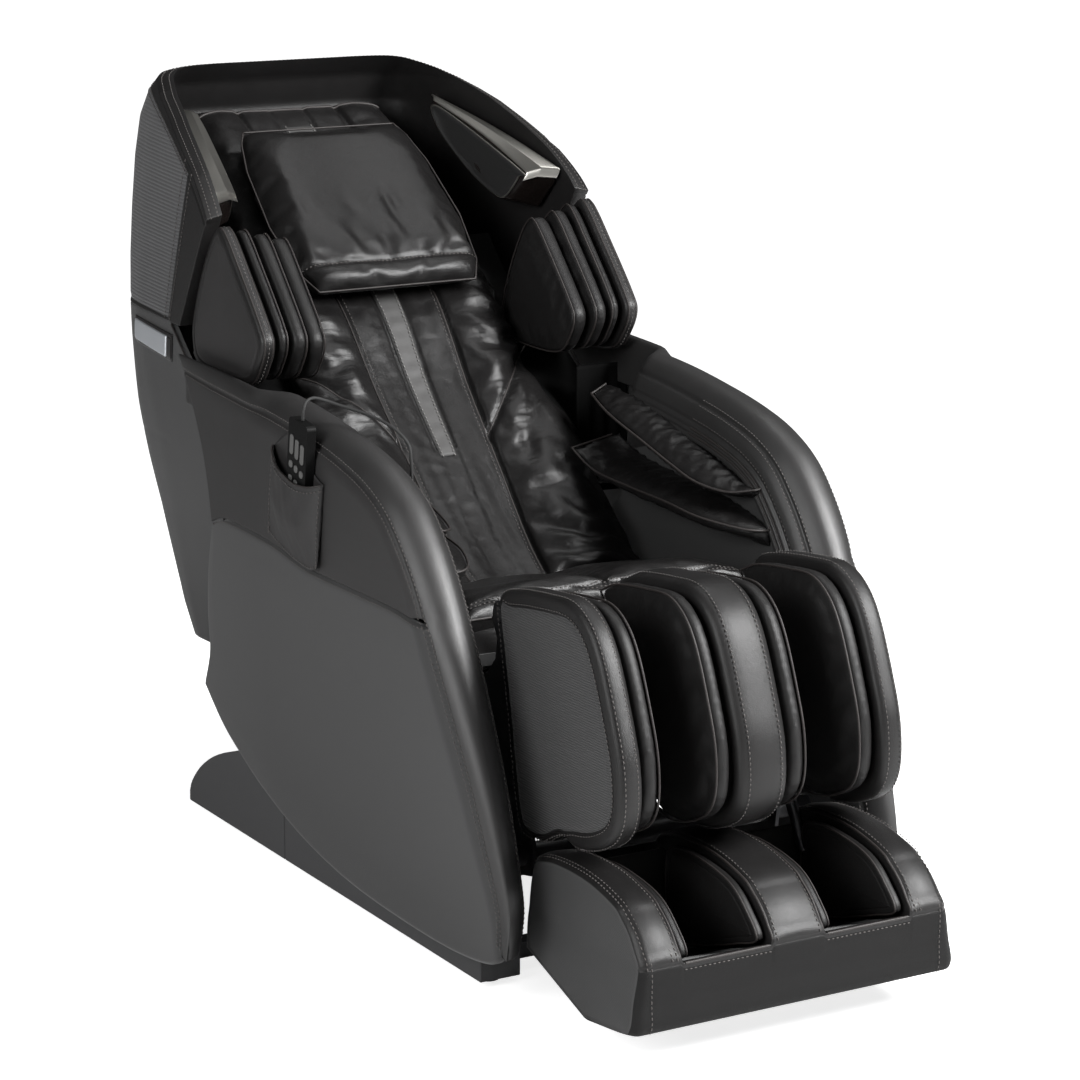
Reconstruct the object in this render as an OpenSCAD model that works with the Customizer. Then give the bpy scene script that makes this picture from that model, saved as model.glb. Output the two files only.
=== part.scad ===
// Full-body massage chair: reclining back under a hood, padded arms that follow the back,
// a leg rest that lifts, and a foot unit that slides out of it.
// X runs across the chair, the front faces -Y, Z is up, and the floor is z = 0.

/* [Shell] */
// Greatest half width, across the arms
half_w = 374; // [368:1:380]
// How far each side draws in from arm height to the floor
egg_in = 54; // [48:1:56]
// Thickness of the padded side panels
panel_t = 14; // [10:1:16]
// Thickness of the moulded back shell
shell_t = 10; // [8:1:12]
// Thickness of the padded hood wall
hood_t = 27; // [24:1:30]

/* [Seat] */
// Half width of the seat cushion
seat_half = 252; // [244:1:262]
// Thickness of the seat cushion at its middle
seat_t = 84; // [78:1:86]
// Rise of the seat cushion at its middle
seat_crown = 12; // [6:1:14]

/* [Back] */
// Half width of the back pad at the waist
pad_half = 262; // [250:1:266]
// Lean of the back from level
back_tilt = 45.4; // [44:0.1:47]
// Depth of the channel down the middle of the back pad
pad_channel = 16; // [8:1:20]
// Radius of a massage roller
roller_r = 34; // [28:1:36]

/* [Legs] */
// Half width of the leg rest
leg_half = 236; // [232:1:240]
// Half width of the middle slab between the calves
mid_slab = 42; // [36:1:44]
// Radius of the rods that carry the foot unit
rod_r = 9; // [8:0.5:10]
// Running clearance of rods, pins and shafts
fit = 0.05; // [0.02:0.01:0.09]

/* [Base] */
// Outer half width of the base rails
rail_half = 282; // [276:1:283]
// Width of a base rail cover
rail_w = 66; // [60:1:70]
// Wall of the plastic covers
cover_t = 3.5; // [3:0.5:4]
// Radius of a transport wheel
wheel_r = 24; // [20:1:25]

/* [Handset] */
// Width of the handset
handset_w = 60; // [56:1:62]
// Length of the handset
handset_l = 168; // [160:1:176]
// Thickness of the handset
handset_t = 14.5; // [13:0.5:14.5]
// Travel of a handset key
key_travel = 0.8; // [0.5:0.1:1]

/* [Hidden] */
$fn = 48;

KEYS = ["recline", "legs", "rollers", "power", "program", "heat", "air", "strength", "width"];

// Pivots, as [y, z]
tilt_pivot = [430, 100];
back_pivot = [40, 405];
arm_pivot = [-420, 190];
leg_pivot = [-375, 535];
pillow_pivot = [626, 1106];
// Lean of the leg rest from upright, and its length direction
leg_lean = 29;
// Start of the straight of the back, on the front of the back pad
back_start = [78, 556];

// Side outline of the seat half: the crown of the arm from rear to front and down to the floor
arm_crown = [[400, 800], [217, 795], [30, 784], [-100, 768], [-190, 752], [-260, 732], [-320, 700],
             [-370, 650], [-408, 598], [-438, 545], [-482, 463], [-532, 351], [-566, 250],
             [-586, 165], [-576, 100]];
// Lower edge of the arm casing: the seam over the lower panel, then the front edge seam
arm_seam = [[281, 556], [215, 573], [60, 570], [-60, 556], [-140, 555], [-205, 555], [-265, 555],
            [-325, 555], [-378, 552], [-418, 545], [-463, 452], [-512, 341], [-546, 243],
            [-566, 163], [-560, 106]];
// Edges of the lower panel
panel_bottom = [[400, 262], [333, 208], [266, 172], [190, 136], [67, 92], [-84, 64], [-261, 55],
                [-412, 58], [-516, 74], [-557, 104]];
panel_rear = [[400, 262], [352, 330], [338, 400], [312, 480], [279, 553]];
panel_front = [[-557, 104], [-563, 161], [-543, 240], [-509, 338], [-460, 449], [-416, 542]];
panel_top = [[279, 553], [215, 570], [60, 567], [-60, 553], [-205, 552], [-325, 552], [-416, 542]];

// Front face of the back pad on the middle line, from the seat to the hood
pad_line = [[-40, 482], [15, 506], [78, 556], [174, 650], [272, 746], [355, 846], [446, 924],
            [560, 1030], [648, 1088], [745, 1152]];
// Outline of the slabs that hold the calves
calf_line = [[-391, 567], [-440, 588], [-530, 600], [-590, 602], [-634, 581], [-667, 540], [-700, 466],
             [-722, 400], [-725, 335], [-704, 293], [-655, 266], [-600, 254], [-561, 261]];
// Rear edge of the covers on the outer sides of the leg rest
calf_rear = [[-561, 261], [-520, 240], [-475, 236], [-450, 252], [-433, 324], [-416, 422],
             [-398, 509], [-391, 567]];
// Outline of the foot unit
foot_line = [[-812, 60], [-812, 148], [-782, 190], [-735, 221], [-670, 235], [-600, 237], [-540, 229],
             [-507, 208], [-503, 140], [-519, 70], [-561, 12]];
// Space for the foot, above the sole
foot_well = [[-830, 153], [-800, 146], [-760, 128], [-640, 88], [-582, 84], [-566, 110], [-556, 260],
             [-830, 260]];

// ---------------------------------------------------------------- curves and shells

function mix(a, b, t) = a + (b - a) * t;
function clamp(t) = max(0, min(1, t));
function knot(pts, i) = pts[max(0, min(len(pts) - 1, i))];
function unit(v) = v / norm(v);
function total(v) = v * [for (x = v) 1];

// A smooth curve through the points, for t from 0 to 1
function curve(pts, t) =
    let (n = len(pts) - 1, u = min(clamp(t) * n, n - 0.00001), i = floor(u), f = u - i,
         a = knot(pts, i - 1), b = knot(pts, i), c = knot(pts, i + 1), d = knot(pts, i + 2))
    0.5 * (2 * b + (c - a) * f + (2 * a - 5 * b + 4 * c - d) * f * f
           + (3 * b - a - 3 * c + d) * f * f * f);

// Unit normal of a side outline, pointing to the left of its direction
function curve_normal(pts, t) =
    let (d = unit(curve(pts, min(1, t + 0.01)) - curve(pts, max(0, t - 0.01))))
    [-d[1], d[0]];

// A closed outline with its corners rounded into a smooth loop of n points
function loop_curve(pts, n) =
    let (m = len(pts))
    [for (k = [0:n - 1])
        let (u = k * m / n, i = floor(u), f = u - i,
             a = pts[(i + m - 1) % m], b = pts[i % m], c = pts[(i + 1) % m], d = pts[(i + 2) % m])
        0.5 * (2 * b + (c - a) * f + (2 * a - 5 * b + 4 * c - d) * f * f
               + (3 * b - a - 3 * c + d) * f * f * f)];

// A surface between four edges, b from t, r from f, as a point in the side plane
function patch(b, t, r, f, u, v) =
    (1 - v) * curve(b, u) + v * curve(t, u) + (1 - u) * curve(r, v) + u * curve(f, v)
    - (1 - u) * (1 - v) * curve(b, 0) - u * (1 - v) * curve(b, 1)
    - (1 - u) * v * curve(t, 0) - u * v * curve(t, 1);

// A solid from points and triangles, turned so that the faces point outwards
module solid(pts, faces) {
    volume = total([for (f = faces) cross(pts[f[0]], pts[f[1]]) * pts[f[2]]]);
    polyhedron(pts, volume > 0 ? [for (f = faces) [f[2], f[1], f[0]]] : faces, convexity = 6);
}

// A closed wall between two surfaces, each a function of u and v
module wall(front, back, nu, nv) {
    w = nv + 1;
    m = (nu + 1) * w;
    pts = concat([for (i = [0:nu], j = [0:nv]) front(i / nu, j / nv)],
                 [for (i = [0:nu], j = [0:nv]) back(i / nu, j / nv)]);
    sheet = [for (i = [0:nu - 1], j = [0:nv - 1], k = [0, 1])
        let (a = i * w + j, b = a + 1, c = a + w + 1, d = a + w) k == 0 ? [a, b, c] : [a, c, d]];
    rim = concat([for (j = [0:nv - 1]) [j, j + 1]],
                 [for (i = [0:nu - 1]) [i * w + nv, (i + 1) * w + nv]],
                 [for (j = [nv:-1:1]) [nu * w + j, nu * w + j - 1]],
                 [for (i = [nu:-1:1]) [i * w, (i - 1) * w]]);
    solid(pts, concat(sheet,
        [for (f = sheet) [m + f[2], m + f[1], m + f[0]]],
        [for (e = rim, k = [0, 1]) k == 0 ? [e[1], e[0], m + e[0]] : [e[1], m + e[0], m + e[1]]]));
}

// A puffed slab: an outline in the side plane, shrunk and lifted ring by ring to each side.
// rings holds [scale, x], from one face to the other; heart is the point that the rings shrink to
module puff(outline, rings, heart) {
    n = len(outline);
    last = len(rings) - 1;
    pts = concat(
        [for (r = rings, p = outline) let (q = heart + (p - heart) * r[0]) [r[1], q[0], q[1]]],
        [[rings[0][1], heart[0], heart[1]], [rings[last][1], heart[0], heart[1]]]);
    solid(pts, concat(
        [for (i = [0:last - 1], j = [0:n - 1], k = [0, 1])
            let (a = i * n + j, b = i * n + (j + 1) % n) k == 0 ? [a, b, b + n] : [a, b + n, a + n]],
        [for (j = [0:n - 1]) [(j + 1) % n, j, n * (last + 1)]],
        [for (j = [0:n - 1]) [last * n + j, last * n + (j + 1) % n, n * (last + 1) + 1]]));
}

// Rings of a slab from x0 to x1 whose edges are rounded over r, with faces that rise by crown
function slab_rings(x0, x1, edge, crown) =
    let (m = (x0 + x1) / 2, h = (x1 - x0) / 2)
    concat([for (p = [[0.45, 1, 1], [0.86, 1, 0.55], [0.95, 0.82, 0], [1, 0.4, 0]])
                [1 - (1 - p[0]) * edge, m - h * p[1] - crown * p[2]]],
           [for (p = [[1, 0.4, 0], [0.95, 0.82, 0], [0.86, 1, 0.55], [0.45, 1, 1]])
                [1 - (1 - p[0]) * edge, m + h * p[1] + crown * p[2]]]);

// A flat plate of thickness t from x0, with its outline in the side plane
module side_plate(x0, t, outline) {
    translate([x0, 0, 0]) rotate([90, 0, 90]) linear_extrude(t) polygon(outline);
}

// A shaft along X, centred at a point of the side plane
module cross_rod(p, r, x0, x1) {
    translate([x0, p[0], p[1]]) rotate([0, 90, 0]) cylinder(h = x1 - x0, r = r);
}

module both_sides() {
    children();
    mirror([1, 0, 0]) children();
}

// The side plane of the back: Y runs up the back, Z points out of its front
module on_back() {
    translate([0, back_start[0], back_start[1]]) rotate([back_tilt, 0, 0]) children();
}

// The side plane of the leg rest: Y runs down the leg, Z points out of its front
module on_leg() {
    translate([0, leg_pivot[0], leg_pivot[1]]) rotate([-90 - leg_lean, 0, 0])
        mirror([0, 0, 1]) children();
}

function leg_point(a, b) =
    leg_pivot + a * [-sin(leg_lean), -cos(leg_lean)] + b * [-cos(leg_lean), sin(leg_lean)];

// Half width of the egg-shaped side at a point of the side plane
function side_x(p) =
    half_w - egg_in * pow(max(0, 700 - p[1]) / 620, 1.6) - 0.00018 * pow(max(0, p[0] - 120), 2);

// ---------------------------------------------------------------- base

module base_frame() {
    color([0.10, 0.10, 0.11]) {
        both_sides() {
            difference() {
                translate([228, -400, 14]) cube([40, 880, 28]);
                translate([230.5, -410, 16.5]) cube([35, 900, 23]);
            }
            // bracket and pin for the tilting seat
            difference() {
                side_plate(228, 6, [[380, 44], [404, 110], [430, 117], [454, 108], [478, 44]]);
                cross_rod(tilt_pivot, 10, 220, 240);
            }
            cross_rod(tilt_pivot, 10, 200, 234);
            // fork and axle of the transport wheel
            translate([227, 470, 18]) cube([5, 60, 26]);
            translate([262, 470, 18]) cube([5, 60, 26]);
            cross_rod([520, 32], 5, 227, 267);
        }
        for (y = [-380, -60, 380]) {
            translate([-228, y, 17]) cube([456, 30, 24]);
        }
    }
}

// Side outline of a rail: low at the front, rising to the hump at the rear
rail_top = [[-424, 47], [-250, 52], [-80, 60], [60, 78], [190, 104], [260, 128], [326, 148],
            [383, 144], [461, 118], [521, 85], [560, 50], [572, 28]];

function rail_outline(y0, y1, drop) =
    concat([[y1, 9], [y0, 9], [y0, lookup(y0, rail_top) - drop]],
           [for (i = [0:36]) let (p = curve(rail_top, i / 36)) if (p[0] > y0 + 3 && p[0] < y1 - 3) p - [0, drop]],
           [[y1, lookup(y1, rail_top) - drop]]);

// A cover open underneath, over one stretch of a rail
module rail_cover(y0, y1, wall_front, wall_rear) {
    difference() {
        side_plate(rail_half - rail_w, rail_w, rail_outline(y0, y1, 0));
        side_plate(rail_half - rail_w + cover_t, rail_w - 2 * cover_t,
                   rail_outline(y0 + wall_front, y1 - wall_rear, cover_t));
        translate([0, y0 - 5, -10]) cube([400, y1 - y0 + 10, 20.5]);
        for (y = [-380, -60, 380]) translate([200, y - 1, 0]) cube([25, 32, 42]);
        cross_rod(tilt_pivot, 10.5, 200, 226);
    }
}

module rail_covers() {
    color([0.23, 0.23, 0.24]) both_sides() rail_cover(-424, 210, 4, -1);
}

module rear_covers() {
    color([0.23, 0.23, 0.24]) both_sides() rail_cover(212, 572, -1, 5);
}

module base_feet() {
    color([0.05, 0.05, 0.05]) both_sides() for (y = [-385, -40, 420]) {
        translate([248, y, 0]) cylinder(h = 14, r1 = 17, r2 = 19);
    }
}

module transport_wheel() {
    translate([235, 520, 32]) rotate([0, 90, 0]) rotate_extrude()
        polygon([[5 + fit, 0], [12, 0], [12, 3], [wheel_r - 3, 3], [wheel_r, 6],
                 [wheel_r, 18], [wheel_r - 3, 21], [12, 21], [12, 24], [5 + fit, 24]]);
}

module transport_wheel_left() { color([0.12, 0.12, 0.12]) mirror([1, 0, 0]) transport_wheel(); }
module transport_wheel_right() { color([0.12, 0.12, 0.12]) transport_wheel(); }

// Power inlet and switch box on the rear cross tube
module power_box() {
    color([0.14, 0.14, 0.15]) difference() {
        translate([-70, 410, 17]) cube([140, 75, 70]);
        // inlet recess with three blades left standing
        difference() {
            translate([-52, 467, 38]) cube([28, 19, 20]);
            for (x = [-46, -38, -30]) translate([x - 1, 467, 46 + (x == -38 ? 3 : 0)]) cube([2, 14, 4]);
        }
        // switch opening, round at its back to clear the rocker
        translate([14, 469, 34]) cube([22, 20, 28]);
        translate([44, 481, 48]) rotate([-90, 0, 0]) cylinder(h = 10, r = 7);
        cross_rod([480, 48], 1.5 + fit, 12, 38);
    }
}

module power_switch() {
    color([0.05, 0.05, 0.05]) rotate([90, 0, 90]) translate([0, 0, 15]) linear_extrude(20)
        polygon([[474, 48], [480, 36.5], [486, 36.5], [487.5, 48], [490, 59.5], [480, 59.5]]);
    color([0.05, 0.05, 0.05]) cross_rod([480, 48], 1.5, 12.5, 37.5);
}

// ---------------------------------------------------------------- seat

plate_outline = [[-358, 543], [-375, 553], [-392, 543], [-391, 505], [-384, 440], [-452, 205],
                 [-446, 165], [-410, 158], [-330, 250], [-250, 290], [60, 250], [400, 74],
                 [440, 70], [462, 96], [452, 128], [180, 300], [72, 400], [66, 424], [40, 436],
                 [0, 426], [-58, 386], [-120, 397], [-320, 436], [-344, 462], [-352, 505]];

module seat_plates() {
    color([0.12, 0.12, 0.13]) both_sides() {
        difference() {
            side_plate(205, 6, plate_outline);
            cross_rod(tilt_pivot, 10 + fit, 190, 230);
            cross_rod(arm_pivot, 16, 190, 230);
            for (y = [-290, -100, 60]) cross_rod([y, 350 - y * 0.05], 16, 190, 230);
            cross_rod([-180, 330], 22, 190, 230);
        }
        cross_rod(back_pivot, 12, 184, 205);
        cross_rod(leg_pivot, 12, 211, 226);
    }
}

module seat_tubes() {
    color([0.12, 0.12, 0.13]) {
        for (y = [-290, -100, 60]) cross_rod([y, 350 - y * 0.05], 16, -213, 213);
        cross_rod(arm_pivot, 16, -312, 312);
    }
}

function seat_top(y) = 487 + (-47 - y) * 0.23;

module seat_pan() {
    color([0.16, 0.13, 0.10]) side_plate(-262, 524,
        [[-322, seat_top(-322) - seat_t - 2], [-70, seat_top(-70) - seat_t - 2],
         [-70, seat_top(-70) - seat_t - 20], [-322, seat_top(-322) - seat_t - 20]]);
}

// Cushion with a crowned top, drawn-in sides and a rolled front edge
module seat_cushion() {
    function plan(u, v, k) =
        let (x = mix(-1, 1, u), y = mix(-1, 1, v),
             pull = 1 - 0.035 * (1 - pow(abs(x), 2)) * pow(abs(y), 6),
             side = 1 - 0.03 * (1 - pow(abs(y), 2)) * pow(abs(x), 6))
        [x * (seat_half - k) * side, -188 + y * (136 - k) * pull];
    function edge(u, v) = let (x = mix(-1, 1, u), y = mix(-1, 1, v))
        (1 - pow(abs(x), 10)) * (1 - pow(abs(y), 8));
    top = function (u, v) let (p = plan(u, v, 0), e = edge(u, v), x = mix(-1, 1, u))
        [p[0], p[1], seat_top(p[1]) - 34 + 34 * pow(e, 0.45)
         + seat_crown * (1 - x * x) * e - 9 * exp(-pow(x / 0.05, 2)) * e];
    under = function (u, v) let (p = plan(u, v, 7), e = edge(u, v))
        [p[0], p[1], seat_top(p[1]) - 52 - (seat_t - 52) * pow(e, 0.3)];
    color([0.07, 0.07, 0.07]) wall(top, under, 18, 12);
}

// ---------------------------------------------------------------- arms and side panels

// The arm pad is wide at the front and thins to the outer panel behind, where the back swings
function pad_share(y) = let (t = clamp((126 - y) / 50)) t * t * (3 - 2 * t);
function arm_inner(y) = mix(345, 276, pad_share(y));
function arm_mid(y) = mix(358, 326, pad_share(y));

// Half width of an arm a given drop outside its crown
function arm_x(p, drop) = side_x(p) - (side_x(p) - arm_mid(p[0])) * pow(1 - min(1, drop / 50), 2.4);

// Outer skin of an arm: v runs from the inner edge, over the crown and down to the seam
function arm_skin(u, v, t) =
    let (s = curve(arm_crown, u), e = curve(arm_seam, u), n = -curve_normal(arm_crown, u),
         depth = norm(e - s), w = v < 0.36 ? 1 - v / 0.36 : (v - 0.36) / 0.64,
         drop = v < 0.36 ? 78 * pow(w, 1.6) : depth * pow(w, 1.7),
         bow = u < 0.07 ? (1 - u / 0.07) : 0,
         p = v < 0.36 ? s - n * drop : mix(s, e, drop / depth)
             - [34 * bow * sin(180 * drop / depth), 0],
         wall_t = t * mix(0.22, 1, pad_share(p[0])), q = p - n * wall_t * (1 - min(1, drop / 60)),
         x = v < 0.36 ? mix(arm_inner(p[0]), arm_mid(p[0]), pow(1 - min(1, drop / 34), 2.6)) : arm_x(p, drop))
    [v < 0.36 ? x + wall_t * 0.7 * min(1, drop / 40) : x - wall_t * min(1, drop / 40), q[0], q[1]];

module arm_casing() {
    wall(function (u, v) arm_skin(u, v, 0), function (u, v) arm_skin(u, v, panel_t), 22, 11);
}

module arm_casing_left() { color([0.15, 0.15, 0.16]) mirror([1, 0, 0]) arm_casing(); }
module arm_casing_right() { color([0.15, 0.15, 0.16]) arm_casing(); }

// Large fabric-faced panel below the arm casing
function panel_skin(u, v, t) =
    let (p = patch(panel_bottom, panel_top, panel_rear, panel_front, u, v),
         d = clamp((u - 0.92) / 0.08), wall_t = t * mix(0.3, 1, clamp(u / 0.2)))
    [side_x(p) - wall_t - 16 * d * d, p[0] + 8 * pow(u, 12), p[1] - 2.5 * pow(v, 8)];

module lower_panel() {
    wall(function (u, v) panel_skin(u, v, 0), function (u, v) panel_skin(u, v, panel_t), 16, 9);
}

module lower_panel_left() { color([0.19, 0.19, 0.20]) mirror([1, 0, 0]) lower_panel(); }
module lower_panel_right() { color([0.19, 0.19, 0.20]) lower_panel(); }

// Flat inner wall of an arm, which turns on the cross tube at its lower front
liner_outline = concat(
    [for (i = [0:20]) let (u = 0.21 + 0.77 * i / 20) curve(arm_crown, u) + curve_normal(arm_crown, u) * 84],
    [[-500, 120], [-440, 84], [-261, 78], [-84, 86], [67, 112], [190, 156], [250, 196], [258, 340],
     [200, 480], [110, 560], [80, 640]]);

module arm_liner() {
    difference() {
        union() {
            side_plate(276.4, 9, liner_outline);
            cross_rod(arm_pivot, 28, 276.4, 300);
        }
        cross_rod(arm_pivot, 16, 270, 310);
    }
}

module arm_liner_left() { color([0.06, 0.06, 0.06]) mirror([1, 0, 0]) arm_liner(); }
module arm_liner_right() { color([0.06, 0.06, 0.06]) arm_liner(); }

// Edges of the arm airbags, from rear to front: the piped edge over the seat, as [x, y, z],
// and the edge along the arm, as [y, z]
upper_bag_edge = [[240, 140, 724], [224, 58, 706], [220, -52, 681], [220, -130, 661], [222, -196, 646],
                  [238, -256, 640], [264, -292, 646]];
upper_bag_root = [[146, 738], [39, 725], [-52, 704], [-130, 685], [-209, 664], [-262, 648], [-294, 648]];
lower_bag_edge = [[188, 112, 646], [192, 50, 621], [196, -50, 613], [200, -149, 608], [206, -230, 600],
                  [236, -306, 593], [266, -322, 590]];
lower_bag_root = [[114, 662], [50, 642], [-50, 630], [-149, 624], [-230, 614], [-300, 598], [-324, 592]];

// A soft shelf from the arm to its piped edge: root_t thick along the arm, edge_t at the piping
module arm_airbag(edge, root, root_t, edge_t) {
    function top(u, v) = let (r = curve(root, u))
        mix([275.6, r[0], r[1]], curve(edge, u), v) + [0, 0, 4 * sin(180 * v) * sin(180 * u)];
    function under(u, v) = top(u, v)
        - [0, 0, mix(root_t, edge_t, v) * mix(0.45, 1, pow(sin(180 * u), 0.5))];
    wall(function (u, v) top(u, v), function (u, v) under(u, v), 12, 4);
}

module arm_airbag_upper() {
    arm_airbag(upper_bag_edge, upper_bag_root, 26, 10);
}

module arm_airbag_lower() {
    arm_airbag(lower_bag_edge, lower_bag_root, 46, 14);
}

module arm_airbag_upper_left() { color([0.05, 0.05, 0.05]) mirror([1, 0, 0]) arm_airbag_upper(); }
module arm_airbag_upper_right() { color([0.05, 0.05, 0.05]) arm_airbag_upper(); }
module arm_airbag_lower_left() { color([0.05, 0.05, 0.05]) mirror([1, 0, 0]) arm_airbag_lower(); }
module arm_airbag_lower_right() { color([0.05, 0.05, 0.05]) arm_airbag_lower(); }

// Pocket on the outside of the left arm, open at its slanting mouth
pouch_outline = [[44, 586], [-10, 564], [-88, 556], [-108, 562], [-134, 694], [-104, 688], [-60, 692],
                 [-10, 706], [22, 726], [60, 690], [62, 620]];

module remote_pouch() {
    color([0.14, 0.14, 0.15]) difference() {
        side_plate(-half_w - 21, 20.6, pouch_outline);
        side_plate(-half_w - 19, 17, [[34, 588], [-10, 568], [-84, 561], [-104, 567], [-130, 694],
                                          [-160, 800], [80, 800], [40, 690], [30, 640]]);
    }
}

// Cord from the top of the handset, over the arm and down between arm and back
cord_route = [[-384, -86.6, 781], [-384, -87.5, 788], [-383, -88, 798], [-376, -84, 808], [-362, -80, 811],
              [-345, -82, 806], [-330, -92, 800], [-316, -108, 795], [-303, -128, 790], [-292, -150, 784],
              [-283, -172, 776], [-276, -190, 765], [-271, -201, 752], [-271, -206, 735], [-271.5, -209, 702],
              [-272, -210, 668]];
cord_r = 2.4;

module remote_cord() {
    sides = 8;
    count = 44;
    route = [for (i = [0:count]) curve(cord_route, i / count)];
    rings = [for (i = [0:count])
        let (d = unit(route[min(count, i + 1)] - route[max(0, i - 1)]),
             a = unit(cross(d, [0, 0.2, 1] + 0.8 * [abs(d[2]), 0, 0])), b = cross(d, a))
        for (k = [0:sides - 1]) route[i] + cord_r * (cos(k * 360 / sides) * a + sin(k * 360 / sides) * b)];
    color([0.04, 0.04, 0.04]) solid(
        concat(rings, [route[0], route[count]]),
        concat(
            [for (i = [0:count - 1], k = [0:sides - 1], h = [0, 1])
                let (a = i * sides + k, b = i * sides + (k + 1) % sides)
                h == 0 ? [a, b, b + sides] : [a, b + sides, a + sides]],
            [for (k = [0:sides - 1]) [(k + 1) % sides, k, len(rings)]],
            [for (k = [0:sides - 1])
                [count * sides + k, count * sides + (k + 1) % sides, len(rings) + 1]]));
}

// ---------------------------------------------------------------- handset

// The handset stands in the pouch, leaning a little with its keys facing out
module in_pouch() {
    translate([-half_w - 2.5, -63, 614]) rotate([8, 0, 0]) children();
}

module handset() {
    color([0.03, 0.03, 0.03]) in_pouch() difference() {
        rotate([0, -90, 0]) linear_extrude(handset_t) offset(r = 8)
            translate([8, -handset_w / 2 + 8]) square([handset_l - 16, handset_w - 16]);
        for (k = [0:8]) key_place(k) translate([0, 0, -2]) linear_extrude(4) offset(delta = 0.4)
            key_shape(k);
    }
}

// Keys in three columns: three tall ones above, and small ones in rows below
key_spots = [[17, 128], [0, 125], [-17, 122], [17, 98], [0, 95], [-17, 92], [17, 76], [0, 73], [-17, 70]];

module key_shape(k) {
    tall = k < 3 ? 30 : 11;
    offset(r = 4.5) square([2, tall - 9], center = true);
}

module key_place(k) {
    translate([-handset_t, key_spots[k][0], key_spots[k][1]]) rotate([90, 0, -90]) children();
}

module key(k) {
    color([0.08, 0.08, 0.08]) in_pouch() key_place(k)
        translate([0, 0, -0.7]) linear_extrude(1.9) key_shape(k);
}

// ---------------------------------------------------------------- back

hood_low = 838;
hood_top = 1216;

// Rear of the back seen from the side: y for a height
function rear_y(z) = lookup(z, [[322, 501], [371, 542], [446, 586], [522, 626], [600, 662], [680, 695],
    [759, 717], [838, 734], [914, 758], [992, 782], [1072, 805], [1136, 812], [1180, 792], [1216, 752]]);
// Front edge of the back shell, just behind the arms
function seam_y(z) = lookup(z, [[320, 364], [400, 340], [480, 305], [553, 264], [600, 254], [640, 262],
    [714, 332], [784, 420], [836, 500]]);

// Half of the plan of the back: out at the side, round a corner and in along the rear
plan_line = [[1, 0], [1, 0.25], [1, 0.5], [0.995, 0.72], [0.965, 0.9], [0.86, 0.98], [0.6, 1],
             [0.3, 1], [0, 1]];

// A wall that runs back from one side, round the rear and forward to the other.
// s runs from -1 to 1; half is the half width at the front and narrow its share left at the rear
function around(s, y0, y1, half, narrow) =
    let (q = curve(plan_line, 1 - abs(s)))
    [sign(s) * half * q[0] * mix(1, narrow, q[1]), mix(y0, y1, q[1])];

// Rising top edge of the hood, by the distance back from its front
function hood_edge(c) =
    lookup(c, [[0, 1026], [0.034, 1043], [0.077, 1060], [0.14, 1082], [0.2, 1098], [0.28, 1117],
               [0.35, 1133], [0.46, 1155], [0.565, 1171], [0.675, 1185], [0.79, 1197], [0.9, 1206],
               [1, hood_top]]);

function hood_skin(u, v, t) =
    let (s = mix(-1, 1, u), top = hood_edge(curve(plan_line, 1 - abs(s))[1]),
         z = mix(hood_low, top, v), y0 = mix(434, 322, v), half = 342,
         narrow = lookup(z, [[838, 0.922], [914, 0.888], [992, 0.843], [1072, 0.79], [1136, 0.747],
                             [1216, 0.697]]),
         p = around(s, y0, rear_y(z) - t, half - t, narrow))
    [p[0], p[1], z - (t > 0 ? 0 : 6) * pow(v, 8)];

module hood_shell() {
    color([0.13, 0.13, 0.14])
        wall(function (u, v) hood_skin(u, v, 0), function (u, v) hood_skin(u, v, hood_t), 32, 8);
}

// Share of its half width that the back shell keeps at the rear
function shell_narrow(z) = lookup(z, [[322, 1.025], [371, 1.01], [446, 0.985], [522, 0.965], [838, 0.955]]);

// How far the back shell runs inside the side panels, so that it swings down between them
function shell_inset(z) = lookup(z, [[322, 33], [400, 33], [450, 32], [600, 27], [760, 24], [838, 20]]);

// Lower edge of the back shell, arched across the middle to swing down over the base
function shell_low(x) = let (t = clamp((0.985 - x) / 0.1)) mix(322, 432, t * t * (3 - 2 * t));

function back_skin(u, v, t) =
    let (s = mix(-1, 1, u), z = mix(shell_low(curve(plan_line, 1 - abs(s))[0]), hood_low - 2, v),
         half = side_x([seam_y(z), z]) - shell_inset(z) - t,
         narrow = shell_narrow(z),
         p = around(s, seam_y(z), rear_y(z) - t, half, narrow))
    [p[0], p[1], z];

module back_shell() {
    color([0.17, 0.17, 0.18])
        wall(function (u, v) back_skin(u, v, 0), function (u, v) back_skin(u, v, shell_t), 30, 10);
}

// Long pad down the back: a stitched channel in the middle and puffed bolsters at the sides
module back_pad() {
    function half(v) = lookup(v, [[0, pad_half - 8], [0.25, pad_half], [0.38, 250], [0.45, 213],
                                  [0.7, 210], [0.85, 200], [1, 180]]);
    function lift(x, v) = let (a = abs(x))
        (-pad_channel * exp(-pow(a / 0.16, 4)) + 26 * pow(sin(90 * min(1, a / 0.62)), 2)
         + 4 * sin(v * 1500) * a * (1 - a)) * clamp((0.62 - v) / 0.14) - 30 * pow(a, 9);
    face = function (u, v)
        let (x = mix(-1, 1, u), p = curve(pad_line, v), n = curve_normal(pad_line, v),
             e = 1 - pow(abs(2 * v - 1), 12), q = p + n * (lift(x, v) * e - 22 * (1 - e)))
        [x * half(v), q[0], q[1]];
    rear = function (u, v)
        let (x = mix(-1, 1, u), p = curve(pad_line, v), n = curve_normal(pad_line, v),
             d = lookup(v, [[0, 40], [0.2, 62], [0.3, 68], [0.85, 64], [1, 36]]), q = p - n * d)
        [x * (half(v) - 8), q[0], q[1]];
    color([0.06, 0.06, 0.06]) wall(face, rear, 20, 24);
}

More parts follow.
